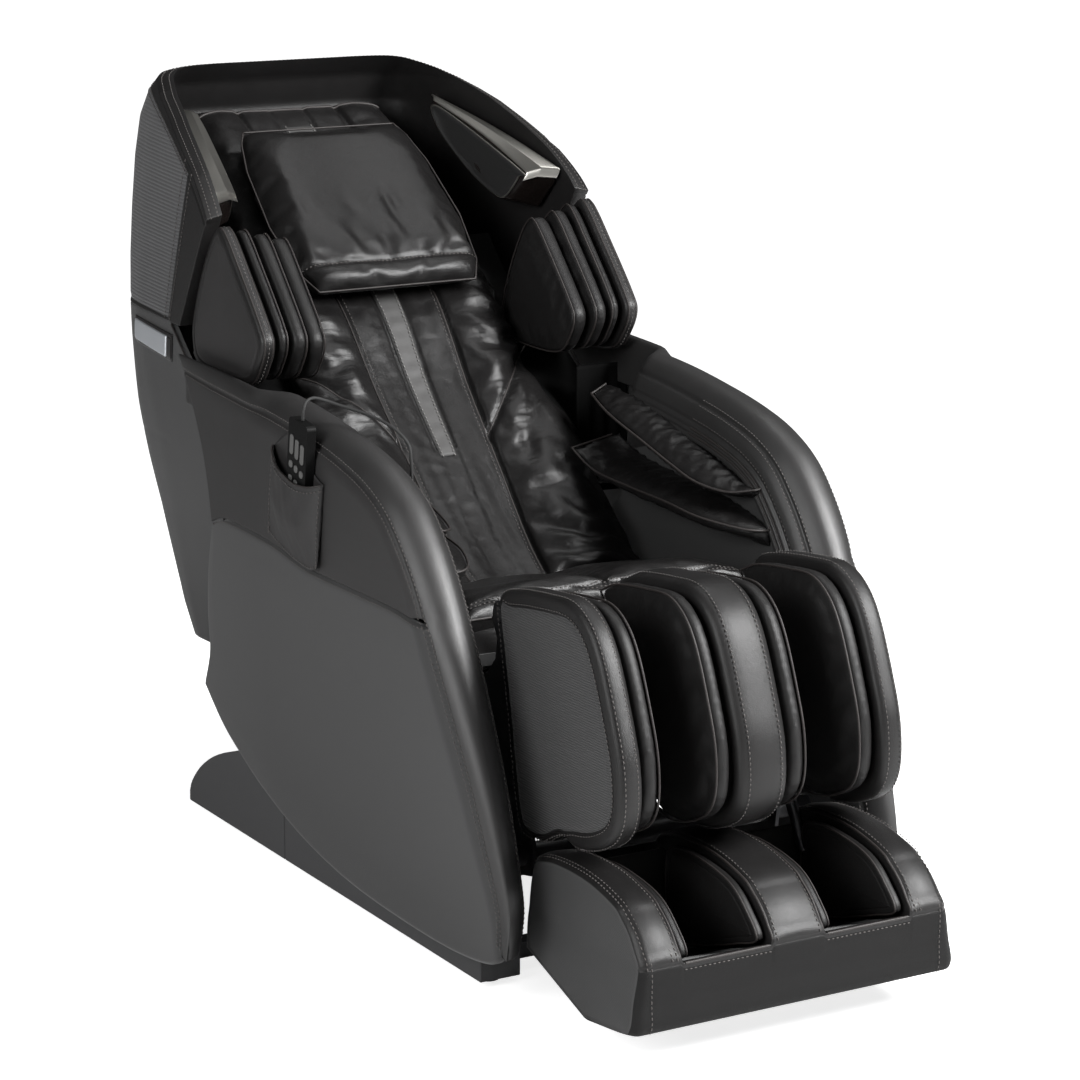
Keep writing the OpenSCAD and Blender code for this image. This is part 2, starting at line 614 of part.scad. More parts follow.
// Head pillow that hangs from its top edge on the back pad
module head_pillow() {
    function spot(x, y) =
        let (w = lookup(y, [[0, 146], [0.12, 166], [0.4, 178], [0.75, 170], [0.92, 156], [1, 142]]),
             p = mix([346, 880], pillow_pivot, y))
        [x * w, p[0], p[1]];
    function edge(x, y) = (1 - pow(abs(x), 6)) * (1 - pow(abs(2 * y - 1), 6));
    n = unit([0, -226, 280]);
    face = function (u, v) let (x = mix(-1, 1, u), e = edge(x, v))
        spot(x, v) + n * (4 + 34 * pow(e, 0.5) - 8 * exp(-pow(x / 0.5, 2)) * e);
    rear = function (u, v) let (x = mix(-1, 1, u), e = edge(x, v)) spot(x, v) - n * (3 + 2 * e);
    color([0.06, 0.06, 0.06]) wall(face, rear, 14, 12);
}

// Side rails that guide the roller carriage, with lugs that turn on the seat plates
module back_rails() {
    color([0.13, 0.13, 0.14]) both_sides() {
        on_back() {
            difference() {
                translate([150, -60, -168]) cube([32, 700, 40]);
                translate([147, -70, -160]) cube([31, 720, 24]);
            }
        }
        difference() {
            side_plate(186, 7, [[16, 405], [24, 384], [44, 380], [66, 394], [214, 410], [236, 436],
                                [196, 478], [160, 448], [56, 430], [34, 428]]);
            cross_rod(back_pivot, 12 + fit, 180, 200);
        }
        translate([182, 178, 425]) cube([4.5, 30, 30]);
    }
}

// Carriage that carries the rollers up and down the back
carriage_y = 210;

module roller_carriage() {
    color([0.2, 0.2, 0.21]) on_back() translate([0, carriage_y, 0]) {
        difference() {
            translate([-150, -80, -156]) cube([300, 160, 12]);
            // hollows for the rollers
            for (x = [-82, 54], y = [-52, 52]) translate([x, y, -116]) rotate([0, 90, 0])
                cylinder(h = 28, r = roller_r + 1.5);
        }
        for (x = [-1, 1], y = [-52, 52]) translate([x * 163, y, -148]) rotate([0, 90, 0])
            cylinder(h = 26, r = 11, center = true);
        for (x = [-52, 44], y = [-52, 52]) difference() {
            translate([x, y - 14, -146]) cube([8, 28, 50]);
            translate([x - 1, y, -116]) rotate([0, 90, 0]) cylinder(h = 10, r = 6 + fit);
        }
        translate([-36, -60, -186]) cube([72, 120, 31]);
    }
}

module roller_pair(y) {
    color([0.75, 0.73, 0.68]) on_back() translate([0, carriage_y + y, -116]) {
        rotate([0, 90, 0]) cylinder(h = 176, r = 6, center = true);
        both_sides() translate([56, 0, 0]) rotate([0, 90, 0]) rotate_extrude()
            polygon([[5.5, 0], [roller_r - 9, 0], [roller_r - 2, 5], [roller_r, 12], [roller_r - 2, 19],
                     [roller_r - 9, 24], [5.5, 24]]);
    }
}

module rollers_upper() { roller_pair(52); }
module rollers_lower() { roller_pair(-52); }

// Shoulder wings: an outer wedge and three airbag fins inside it
wing_line = [[316, 1003], [288, 1005], [232, 950], [166, 878], [150, 848], [166, 812], [204, 780],
             [300, 774], [388, 784], [408, 830], [390, 890], [350, 962]];

module shoulder_wing() {
    puff(loop_curve(wing_line, 30), slab_rings(306, 338, 0.55, 0), [280, 870]);
}

fin_heart = [282, 882];

module wing_fins() {
    for (k = [0:2]) {
        x = [304.6, 281, 250][k];
        shift = [[0, 0], [-6, -4], [0, -10]][k];
        loop = [for (p = loop_curve(wing_line, 18)) mix(fin_heart, p, 0.96 - 0.03 * k) + shift];
        puff(loop, slab_rings(x - [22, 30, 34][k], x, 0.7, 0), fin_heart);
    }
}

module shoulder_wing_left() { color([0.12, 0.12, 0.12]) mirror([1, 0, 0]) shoulder_wing(); }
module shoulder_wing_right() { color([0.12, 0.12, 0.12]) shoulder_wing(); }
module shoulder_airbags_left() { color([0.05, 0.05, 0.05]) mirror([1, 0, 0]) wing_fins(); }
module shoulder_airbags_right() { color([0.05, 0.05, 0.05]) wing_fins(); }

// Speaker pods on the inner sides of the hood: a face, and the wider foot it stands on
pod_face = [[217, 621, 1147], [262, 391, 1050], [262, 396, 1036], [254, 430, 998], [248, 462, 998],
            [236, 540, 1036], [216, 622, 1108]];
pod_foot = [[231, 655, 1152], [307, 362, 1053], [308, 368, 1030], [302, 412, 984], [296, 456, 982],
            [280, 545, 1018], [250, 640, 1094]];

// A solid between two loops with the same number of points
module loft(a, b) {
    n = len(a);
    solid(concat(a, b), concat(
        [for (j = [0:n - 1], k = [0, 1]) let (i = (j + 1) % n) k == 0 ? [j, i, n + i] : [j, n + i, n + j]],
        [for (j = [1:n - 2]) [0, j + 1, j]],
        [for (j = [1:n - 2]) [n, n + j, n + j + 1]]));
}

module speaker_pods() {
    color([0.02, 0.02, 0.02]) both_sides() loft(pod_face, pod_foot);
}

// Bright strip over the upper side of a pod, turned down over its front end
module speaker_trims() {
    up = [0, -1.4, 3.7];
    out = [0, -4, -0.6];
    strip = [pod_face[0], pod_face[1], pod_foot[1], pod_foot[0]];
    tip = [pod_face[1], pod_face[2], pod_foot[2], pod_foot[1]];
    color([0.75, 0.74, 0.72]) both_sides() {
        loft([for (p = strip) p + up * 0.1], [for (p = strip) p + up]);
        loft([for (p = tip) p + out * 0.1], [for (p = tip) p + out]);
    }
}

// Bare metal plates on the sides of the back, each with a dark end cap
module side_badges() {
    function skin(u, v, t) =
        let (y = mix(650, 505, u), z = mix(mix(786, 777, u), mix(818, 811, u), v))
        [back_side(y, z) + t, y, z];
    function back_side(y, z) =
        let (f = clamp((y - seam_y(z)) / (rear_y(z) - seam_y(z))),
             half = side_x([seam_y(z), z]) - shell_inset(z))
        half * lookup(f, [[0, 1], [0.5, 1], [0.72, 0.995], [0.9, 0.965]])
        * mix(1, shell_narrow(z), f);
    color([0.62, 0.66, 0.70]) both_sides() {
        wall(function (u, v) skin(u, v, 5), function (u, v) skin(u, v, 1), 8, 3);
    }
}

// Dark panels that close the back beside the pad
module back_liner() {
    color([0.05, 0.05, 0.05]) both_sides() on_back() translate([0, 0, -88]) linear_extrude(5)
        polygon([[196, 90], [318, 90], [318, 420], [286, 470], [286, 600], [196, 600]]);
}

// ---------------------------------------------------------------- leg rest

module leg_frame() {
    color([0.12, 0.12, 0.13]) both_sides() difference() {
        union() {
            cross_rod(leg_pivot, 20, 213, 221);
            on_leg() translate([213, -4, -24]) cube([8, 130, 32]);
            on_leg() translate([176, 90, -16]) cube([41, 30, 16]);
            on_leg() translate([176, 60, -8]) rotate([-90, 0, 0]) cylinder(h = 222, r = 14);
        }
        cross_rod(leg_pivot, 12 + fit, 205, 230);
        on_leg() translate([176, 50, -8]) rotate([-90, 0, 0]) cylinder(h = 260, r = rod_r + fit);
    }
}

module calf_back() {
    color([0.08, 0.08, 0.08]) on_leg() translate([8 - leg_half, 24, 8])
        cube([2 * leg_half - 16, 276, 21.5]);
}

calf_loop = concat([for (i = [0:30]) curve(calf_line, i / 30)],
                   [for (a = [270, 210, 150, 90, 30]) leg_point(a, 30)]);
calf_heart = leg_point(160, 130);

// Outer slab with a thin cover that runs on behind it
module calf_slab() {
    puff(calf_loop, slab_rings(194, leg_half, 0.4, 0), calf_heart);
    side_plate(leg_half - 6, 5, concat([for (i = [0:18]) curve(calf_rear, i / 18)],
                                       [for (a = [10, 270]) leg_point(a, 34)]));
}

module calf_slab_left() { color([0.13, 0.13, 0.13]) mirror([1, 0, 0]) calf_slab(); }
module calf_slab_right() { color([0.13, 0.13, 0.13]) calf_slab(); }

module calf_slab_middle() {
    color([0.13, 0.13, 0.13]) puff(calf_loop, slab_rings(-mid_slab, mid_slab, 0.5, 0), calf_heart);
}

// Airbags that line both sides of each calf well
module calf_airbags() {
    fin = [for (p = calf_loop) calf_heart + (p - calf_heart) * 0.9];
    small = [for (i = [0:len(fin) - 1]) if (i % 2 == 0) fin[i]];
    color([0.05, 0.05, 0.05]) both_sides() {
        puff(small, slab_rings(160, 193.6, 0.9, 0), calf_heart);
        puff(small, slab_rings(mid_slab + 0.4, mid_slab + 34, 0.9, 0), calf_heart);
    }
}

// ---------------------------------------------------------------- foot unit

foot_taper = [[-270, 0], [270, 0], [266, 60], [250, 160], [244, 240], [-244, 240], [-250, 160], [-266, 60]];

module foot_casing() {
    color([0.14, 0.14, 0.14]) difference() {
        intersection() {
            side_plate(-300, 600, [for (i = [0:44]) curve(concat(foot_line, [foot_line[0]]), i / 44)]);
            translate([0, -400, 0]) rotate([90, 0, 0]) linear_extrude(500) polygon(foot_taper);
        }
        both_sides() {
            side_plate(44, 143, foot_well);
            side_plate(47.6, 135.8, [[-772, 60], [-600, 36], [-600, 92], [-640, 92], [-760, 131],
                                     [-792, 143]]);
            on_leg() translate([176, 320, -8]) rotate([-90, 0, 0]) cylinder(h = 90, r = rod_r);
        }
        cross_rod([-680, 78], 5 + fit, -205, 205);
    }
}

// Soft soles and heel pads in the wells
module foot_pads() {
    color([0.05, 0.05, 0.05]) both_sides() side_plate(48, 135,
        [[-791, 141], [-760, 127.6], [-640, 87.6], [-600.4, 85], [-600.4, 79], [-640, 81.6],
         [-760, 121.6], [-784, 130]]);
}

module foot_slides() {
    color([0.7, 0.7, 0.72]) both_sides() on_leg() translate([176, 80, -8]) rotate([-90, 0, 0])
        cylinder(h = 330, r = rod_r);
}

// Rollers under the soles, on one shaft
module sole_rollers() {
    color([0.7, 0.68, 0.62]) {
        cross_rod([-680, 78], 5, -196, 196);
        both_sides() for (x = [70, 112, 154]) translate([x - 6, -680, 78]) rotate([0, 90, 0])
            cylinder(h = 12, r = 16);
    }
}

// ---------------------------------------------------------------- assembly

base_frame();
rail_covers();
rear_covers();
base_feet();
transport_wheel_left();
transport_wheel_right();
power_box();
power_switch();
seat_plates();
seat_tubes();
seat_pan();
seat_cushion();
arm_casing_left();
arm_casing_right();
lower_panel_left();
lower_panel_right();
arm_liner_left();
arm_liner_right();
arm_airbag_upper_left();
arm_airbag_upper_right();
arm_airbag_lower_left();
arm_airbag_lower_right();
remote_pouch();
remote_cord();
handset();
for (k = [0:len(KEYS) - 1]) key(k);
hood_shell();
back_shell();
back_pad();
head_pillow();
back_rails();
roller_carriage();
rollers_upper();
rollers_lower();
shoulder_wing_left();
shoulder_wing_right();
shoulder_airbags_left();
shoulder_airbags_right();
speaker_pods();
speaker_trims();
side_badges();
back_liner();
leg_frame();
calf_back();
calf_slab_left();
calf_slab_middle();
calf_slab_right();
calf_airbags();
foot_casing();
foot_pads();
foot_slides();
sole_rollers();
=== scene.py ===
from math import cos, pi, radians, sin

import bmesh
import bpy
import numpy as np
from mathutils import Matrix, Vector


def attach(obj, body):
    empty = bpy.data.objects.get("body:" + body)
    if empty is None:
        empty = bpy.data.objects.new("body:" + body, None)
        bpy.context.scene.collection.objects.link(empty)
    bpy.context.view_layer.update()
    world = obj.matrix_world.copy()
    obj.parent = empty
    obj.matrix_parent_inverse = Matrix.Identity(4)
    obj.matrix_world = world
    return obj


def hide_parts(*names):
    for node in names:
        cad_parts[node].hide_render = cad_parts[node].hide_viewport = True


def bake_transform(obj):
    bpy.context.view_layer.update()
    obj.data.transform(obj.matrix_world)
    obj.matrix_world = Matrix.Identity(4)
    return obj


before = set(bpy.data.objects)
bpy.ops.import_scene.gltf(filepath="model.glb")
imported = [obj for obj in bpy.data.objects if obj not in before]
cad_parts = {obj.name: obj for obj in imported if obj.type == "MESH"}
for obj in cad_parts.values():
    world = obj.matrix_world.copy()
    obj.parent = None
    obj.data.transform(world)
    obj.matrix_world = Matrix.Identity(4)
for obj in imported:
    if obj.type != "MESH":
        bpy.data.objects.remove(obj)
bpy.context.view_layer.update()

MM = 0.001
scene = bpy.context.scene

# ------------------------------------------------------------------ camera

CAMERA_PLACE = (-2.5328, -4.4683, 1.7573)
CAMERA_TURN = radians(30.15)
CAMERA_DROP = radians(13.33)
CAMERA_LENS, CAMERA_SENSOR = 114.53, 36
camera = bpy.data.objects.new("camera", bpy.data.cameras.new("camera"))
camera.location = CAMERA_PLACE
camera.rotation_euler = (pi / 2 - CAMERA_DROP, 0, -CAMERA_TURN)
camera.data.lens = CAMERA_LENS
camera.data.sensor_width = CAMERA_SENSOR
camera.data.clip_end = 60
scene.collection.objects.link(camera)
scene.camera = camera

# ------------------------------------------------------------------ driving sizes, in millimetres

HALF_W = 374
EGG_IN = 54
HOOD_T = 27
SHELL_T = 10
ARM_T = 14
WEB_T = 2.0
SEAT_HALF = 252
PAD_HALF = 262
BACK_TILT = radians(45.4)
LEG_LEAN = radians(29)
LEG_PIVOT = np.array([-375, 535])
LEG_HALF = 236
MID_SLAB = 42
HOOD_HALF = 342
HOOD_LOW, HOOD_TOP = 838, 1216

# outlines in the side plane [y, z], seen from the chair's right
ARM_CROWN = [[400, 800], [217, 795], [30, 784], [-100, 768], [-190, 752], [-260, 732], [-320, 700],
             [-370, 650], [-408, 598], [-438, 545], [-482, 463], [-532, 351], [-566, 250],
             [-586, 165], [-576, 100]]
ARM_SEAM = [[281, 556], [215, 573], [60, 570], [-60, 556], [-140, 555], [-205, 555], [-265, 555],
            [-325, 555], [-378, 552], [-418, 545], [-463, 452], [-512, 341], [-546, 243],
            [-566, 163], [-560, 106]]
PANEL_BOTTOM = [[400, 262], [333, 208], [266, 172], [190, 136], [67, 92], [-84, 64], [-261, 55],
                [-412, 58], [-516, 74], [-557, 104]]
PANEL_REAR = [[400, 262], [352, 330], [338, 400], [312, 480], [279, 553]]
PANEL_FRONT = [[-557, 104], [-563, 161], [-543, 240], [-509, 338], [-460, 449], [-416, 542]]
PANEL_TOP = [[279, 553], [215, 570], [60, 567], [-60, 553], [-205, 552], [-325, 552], [-416, 542]]
PAD_LINE = [[-40, 482], [15, 506], [78, 556], [174, 650], [272, 746], [355, 846], [446, 924],
            [560, 1030], [648, 1088], [745, 1152]]
CALF_LINE = [[-391, 567], [-440, 588], [-530, 600], [-590, 602], [-634, 581], [-667, 540],
             [-700, 466], [-722, 400], [-725, 335], [-704, 293], [-655, 266], [-600, 254], [-561, 261]]
CALF_REAR = [[-561, 261], [-520, 240], [-475, 236], [-450, 252], [-433, 324], [-416, 422],
             [-398, 509], [-391, 567]]
WING_LINE = [[316, 1003], [288, 1005], [232, 950], [166, 878], [150, 848], [166, 812], [204, 780],
             [300, 774], [388, 784], [408, 830], [390, 890], [350, 962]]
# front edges [x, y, z] and roots [y, z] of the forearm bags, and the cord's run [x, y, z]
UPPER_BAG_EDGE = [[240, 140, 724], [224, 58, 706], [220, -52, 681], [220, -130, 661], [222, -196, 646],
                  [238, -256, 640], [264, -292, 646]]
UPPER_BAG_ROOT = [[146, 738], [39, 725], [-52, 704], [-130, 685], [-209, 664], [-262, 648], [-294, 648]]
LOWER_BAG_EDGE = [[188, 112, 646], [192, 50, 621], [196, -50, 613], [200, -149, 608], [206, -230, 600],
                  [236, -306, 593], [266, -322, 590]]
LOWER_BAG_ROOT = [[114, 662], [50, 642], [-50, 630], [-149, 624], [-230, 614], [-300, 598], [-324, 592]]
CORD_ROUTE = [[-384, -86.6, 781], [-384, -87.5, 788], [-383, -88, 798], [-376, -84, 808], [-362, -80, 811],
              [-345, -82, 806], [-330, -92, 800], [-316, -108, 795], [-303, -128, 790], [-292, -150, 784],
              [-283, -172, 776], [-276, -190, 765], [-271, -201, 752], [-271, -206, 735], [-271.5, -209, 702],
              [-272, -210, 668]]
CORD_R = 2.4

# ------------------------------------------------------------------ curves, on arrays of parameters


def spline(a, b, c, d, f):
    """The part from b to c of a smooth curve through four points, at the share f."""
    return 0.5 * (2 * b + (c - a) * f + (2 * a - 5 * b + 4 * c - d) * f**2 + (3 * b - a - 3 * c + d) * f**3)


def curve(points, t):
    """A smooth curve through the points, for t from 0 to 1."""
    pts = np.asarray(points, float)
    last = len(pts) - 1
    u = np.clip(np.clip(t, 0, 1) * last, 0, last - 1e-5)
    i = np.floor(u).astype(int)
    return spline(*(pts[np.clip(i + k, 0, last)] for k in (-1, 0, 1, 2)), (u - i)[..., None])


def unit(v):
    """The vectors v, each brought to length 1."""
    return v / np.linalg.norm(v, axis=-1, keepdims=True)


def left_of(points, t):
    """Unit normal of a side outline, to the left of its direction."""
    d = unit(curve(points, np.minimum(1, t + 0.01)) - curve(points, np.maximum(0, t - 0.01)))
    return np.stack([-d[..., 1], d[..., 0]], -1)


def loop(points, count):
    """A closed outline with rounded corners, as count points."""
    pts = np.asarray(points, float)
    u = np.arange(count) * len(pts) / count
    i = np.floor(u).astype(int)
    return spline(*(pts[(i + k) % len(pts)] for k in (-1, 0, 1, 2)), (u - i)[:, None])


def xyz(x, y, z):
    """Points from their coordinates, any of which may be one number for all of them."""
    return np.stack(np.broadcast_arrays(x, y, z), -1)


def at(x, p):
    """Points [y, z] of the side plane, moved to the place x across the chair."""
    return xyz(x, p[..., 0], p[..., 1])


def mix(a, b, t):
    """From a to b, as t goes from 0 to 1."""
    return a + (b - a) * t


def smooth(t):
    """From 0 to 1 with soft ends."""
    t = np.clip(t, 0, 1)
    return t * t * (3 - 2 * t)


def bump(value, centre, width):
    """A rounded hill of height 1."""
    return np.exp(-(((value - centre) / width) ** 2))


def wander(*coordinates, seed=0, count=5):
    """A smooth, repeatable unevenness between about -1 and 1."""
    total = 0
    for k in range(count):
        phase = seed * 1.7 + k * 2.4
        wave = 0
        for j, c in enumerate(coordinates):
            wave = wave + c * cos(phase * (j + 1.3) + k * 1.1) * (0.6 + 0.5 * k)
        total = total + np.sin(wave * 2 * pi + phase) / (1 + 0.6 * k)
    return total / 2.2


def side_x(p):
    """Half width of the egg-shaped side at points [y, z]."""
    y, z = p[..., 0], p[..., 1]
    return HALF_W - EGG_IN * (np.maximum(0, 700 - z) / 620) ** 1.6 - 0.00018 * np.maximum(0, y - 120) ** 2


def leg_point(a, b):
    """A point of the leg rest's side plane: a runs down the leg, b out of its front."""
    return LEG_PIVOT + a * np.array([-sin(LEG_LEAN), -cos(LEG_LEAN)]) \
        + b * np.array([-cos(LEG_LEAN), sin(LEG_LEAN)])


# ------------------------------------------------------------------ meshes


def add(name, data):
    """A new object in the scene."""
    piece = bpy.data.objects.new(name, data)
    scene.collection.objects.link(piece)
    return piece


def make(name, points, faces, finish, body=None, kinds=None):
    """A smooth mesh from points in millimetres. finish is a material or a list chosen by kinds."""
    mesh = bpy.data.meshes.new(name)
    mesh.from_pydata((np.asarray(points, float) * MM).tolist(), [], [list(map(int, f)) for f in faces])
    for m in finish if isinstance(finish, (list, tuple)) else [finish]:
        mesh.materials.append(m)
    if kinds is not None:
        mesh.polygons.foreach_set("material_index", np.asarray(kinds, np.int32))
    mesh.shade_smooth()
    piece = add(name, mesh)
    if body:
        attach(piece, body)
    return piece


def grid_faces(nu, nv, start=0, flip=False):
    """Quads of a grid of nu by nv cells whose points run along v first."""
    i, j = np.meshgrid(np.arange(nu), np.arange(nv), indexing="ij")
    a = (start + i * (nv + 1) + j).ravel()
    quads = np.stack([a, a + 1, a + nv + 2, a + nv + 1], 1)
    return quads[:, ::-1] if flip else quads


def rim_faces(nu, nv, other):
    """Quads that join the edges of a grid to those of a second grid that starts at other."""
    w = nv + 1
    edge = [*range(nv), *range(nv, nu * w + nv, w), *range(nu * w + nv, nu * w, -1), *range(nu * w, 0, -w)]
    return [(after, e, e + other, after + other) for e, after in zip(edge, edge[1:] + edge[:1])]


def tidy(piece, merge=0.02):
    """Merges doubles, removes slivers and turns all faces outwards."""
    bm = bmesh.new()
    bm.from_mesh(piece.data)
    bmesh.ops.remove_doubles(bm, verts=bm.verts, dist=merge * MM)
    bmesh.ops.dissolve_degenerate(bm, edges=bm.edges, dist=merge * MM)
    bmesh.ops.recalc_face_normals(bm, faces=bm.faces)
    bm.to_mesh(piece.data)
    bm.free()
    piece.data.shade_smooth()
    return piece


def closed(name, a, b, finish, body=None, kinds=0):
    """A closed wall between two grids of points; kinds picks the finish of the first grid's cells."""
    nu, nv, other = a.shape[0] - 1, a.shape[1] - 1, a.shape[0] * a.shape[1]
    faces = np.concatenate([grid_faces(nu, nv), grid_faces(nu, nv, other, flip=True),
                            rim_faces(nu, nv, other)])
    which = np.zeros(len(faces), int)
    which[:nu * nv] = np.ravel(kinds)
    return tidy(make(name, np.concatenate([a.reshape(-1, 3), b.reshape(-1, 3)]), faces, finish, body, which))


def wall(name, front, back, nu, nv, finish, body=None, kind=None, u=None, v=None):
    """A closed wall between two surfaces of u and v, or between one and itself sunk by the distance back.
    kind(u, v) picks the finish."""
    rear = back if callable(back) else lambda u, v: front(u, v, back)
    u = np.linspace(0, 1, nu + 1) if u is None else u
    v = np.linspace(0, 1, nv + 1) if v is None else v
    grid = np.meshgrid(u, v, indexing="ij")
    middles = np.meshgrid((u[1:] + u[:-1]) / 2, (v[1:] + v[:-1]) / 2, indexing="ij")
    return closed(name, front(*grid), rear(*grid), finish, body, kind(*middles) if kind else 0)


def ringed(name, rings, finish, body=None, kinds=None):
    """A closed piece from rings of points, each joined to the next, with a cap at both ends."""
    n, last = len(rings[0]), len(rings[0]) * (len(rings) - 1)
    a = np.arange(last).reshape(-1, n)
    b = np.roll(a, -1, 1)
    faces = np.stack([a, b, b + n, a + n], -1).reshape(-1, 4).tolist()
    faces += [list(range(n))[::-1], list(range(last, last + n))]
    return tidy(make(name, np.concatenate(rings), faces, finish, body, kinds), 0.01)


def settle(piece, body, node=None):
    """Rides the piece on a body; node is the CAD node it stands for, which is hidden."""
    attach(piece, body)
    if node:
        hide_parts(node)
    return piece


def pair(right, body, node=None):
    """Settles a right piece and its mirror image on the left; node has {} for the side's name."""
    left = add(right.name[:-len("right")] + "left", right.data.copy())
    left.data.transform(Matrix.Scale(-1, 4, (1, 0, 0)))
    left.data.flip_normals()
    for side, piece in (("left", left), ("right", right)):
        settle(piece, body, node and node.format(side))


def applied(piece):
    """The piece with its modifiers made into plain mesh."""
    shown = piece.evaluated_get(bpy.context.evaluated_depsgraph_get())
    mesh = bpy.data.meshes.new_from_object(shown)
    piece.modifiers.clear()
    piece.data = mesh
    mesh.shade_smooth()
    return piece


def bevelled(piece, width, segments, angle):
    """The piece with rounded edges, where its faces turn by more than the angle."""
    bevel = piece.modifiers.new("bevel", "BEVEL")
    bevel.width = width * MM
    bevel.segments = segments
    bevel.limit_method = "ANGLE"
    bevel.angle_limit = radians(angle)
    return applied(piece)


def softened(node, name, body, finish, width, segments, angle):
    """A copy of a CAD node with its hard edges rounded, which stands for it."""
    piece = add(name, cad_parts[node].data.copy())
    piece.data.materials.clear()
    piece.data.materials.append(finish)
    bm = bmesh.new()
    bm.from_mesh(piece.data)
    bmesh.ops.remove_doubles(bm, verts=bm.verts, dist=1e-5)
    bmesh.ops.dissolve_limit(bm, angle_limit=radians(1), verts=bm.verts, edges=bm.edges)
    bm.to_mesh(piece.data)
    bm.free()
    bevelled(piece, width, segments, angle)
    piece.modifiers.new("normals", "WEIGHTED_NORMAL").keep_sharp = True
    settle(applied(piece), body, node)


def places_of(mesh, key="co"):
    """The mesh's vertex places, or its normals, as rows of x, y and z."""
    values = np.empty(len(mesh.vertices) * 3)
    mesh.vertices.foreach_get(key, values)
    return values.reshape(-1, 3)


CLOTH_FRAMES = 18
CLOTH = {"quality": 4, "mass": 0.4, "use_pressure": True, "tension_stiffness": 18,
         "compression_stiffness": 18, "shear_stiffness": 10, "bending_stiffness": 3.0}


def reach(p, path):
    """Distance of each point from the nearest one of a path."""
    return np.min(np.linalg.norm(p[:, None] - path[None], axis=2), axis=1)


def inflated(piece, voxel, pressure, cap, grow, pinned, calm=2):
    """Blows the piece up as cloth from its own shape, smooths its small creases and keeps the mesh."""
    remesh = piece.modifiers.new("remesh", "REMESH")
    remesh.mode = "VOXEL"
    remesh.voxel_size = voxel * MM
    remesh.use_smooth_shade = True
    applied(piece)
    start = places_of(piece.data)
    cloth = piece.modifiers.new("cloth", "CLOTH")
    for key, value in CLOTH.items():
        setattr(cloth.settings, key, value)
    cloth.settings.uniform_pressure_force = pressure
    cloth.settings.shrink_min = cloth.settings.shrink_max = -grow
    cloth.settings.effector_weights.gravity = 0
    cloth.collision_settings.use_collision = False
    group = piece.vertex_groups.new(name="pin")
    weights = pinned(start / MM)
    for index in np.nonzero(weights > 0.02)[0]:
        group.add([int(index)], float(weights[index]), "REPLACE")
    cloth.settings.vertex_group_mass = "pin"
    cloth.point_cache.frame_start = 1
    cloth.point_cache.frame_end = CLOTH_FRAMES
    for number in range(1, CLOTH_FRAMES + 1):
        scene.frame_set(number)
    shown = piece.evaluated_get(bpy.context.evaluated_depsgraph_get())
    move = places_of(shown.data) - start
    size = np.linalg.norm(move, axis=1, keepdims=True)
    move *= np.minimum(1, cap * MM / np.maximum(size, 1e-9))
    piece.modifiers.clear()
    piece.vertex_groups.clear()
    piece.data.vertices.foreach_set("co", (start + move).ravel())
    scene.frame_set(1)
    ease = piece.modifiers.new("calm", "SMOOTH")
    ease.factor = 0.5
    ease.iterations = calm
    applied(piece)
    sub = piece.modifiers.new("subdivision", "SUBSURF")
    sub.levels = sub.render_levels = 1
    return applied(piece)


def sculpted(piece, move):
    """Moves the vertices: move takes their places and normals, in millimetres, and returns places."""
    places = move(places_of(piece.data) / MM, places_of(piece.data, "normal"))
    piece.data.vertices.foreach_set("co", (places * MM).ravel())
    piece.data.update()
    return piece


# ------------------------------------------------------------------ materials


class Wire:
    """A socket of a material, or a number, that takes part in Python arithmetic."""

    def __init__(self, shop, socket):
        self.shop, self.socket = shop, socket

    def math(self, operation, *values):
        return self.shop.node("Math", {"operation": operation}, *values)

    def __add__(self, other): return self.math("ADD", self, other)
    def __sub__(self, other): return self.math("SUBTRACT", self, other)
    def __mul__(self, other): return self.math("MULTIPLY", self, other)
    def __rsub__(self, other): return self.math("SUBTRACT", other, self)
    def __pow__(self, other): return self.math("POWER", self, other)
    __radd__, __rmul__ = __add__, __mul__

    def sine(self): return self.math("SINE", self)
    def size(self): return self.math("ABSOLUTE", self)
    def above(self, low, high): return self.shop.node(
        "MapRange", {"interpolation_type": "SMOOTHSTEP"}, self, low, high, 0.0, 1.0)


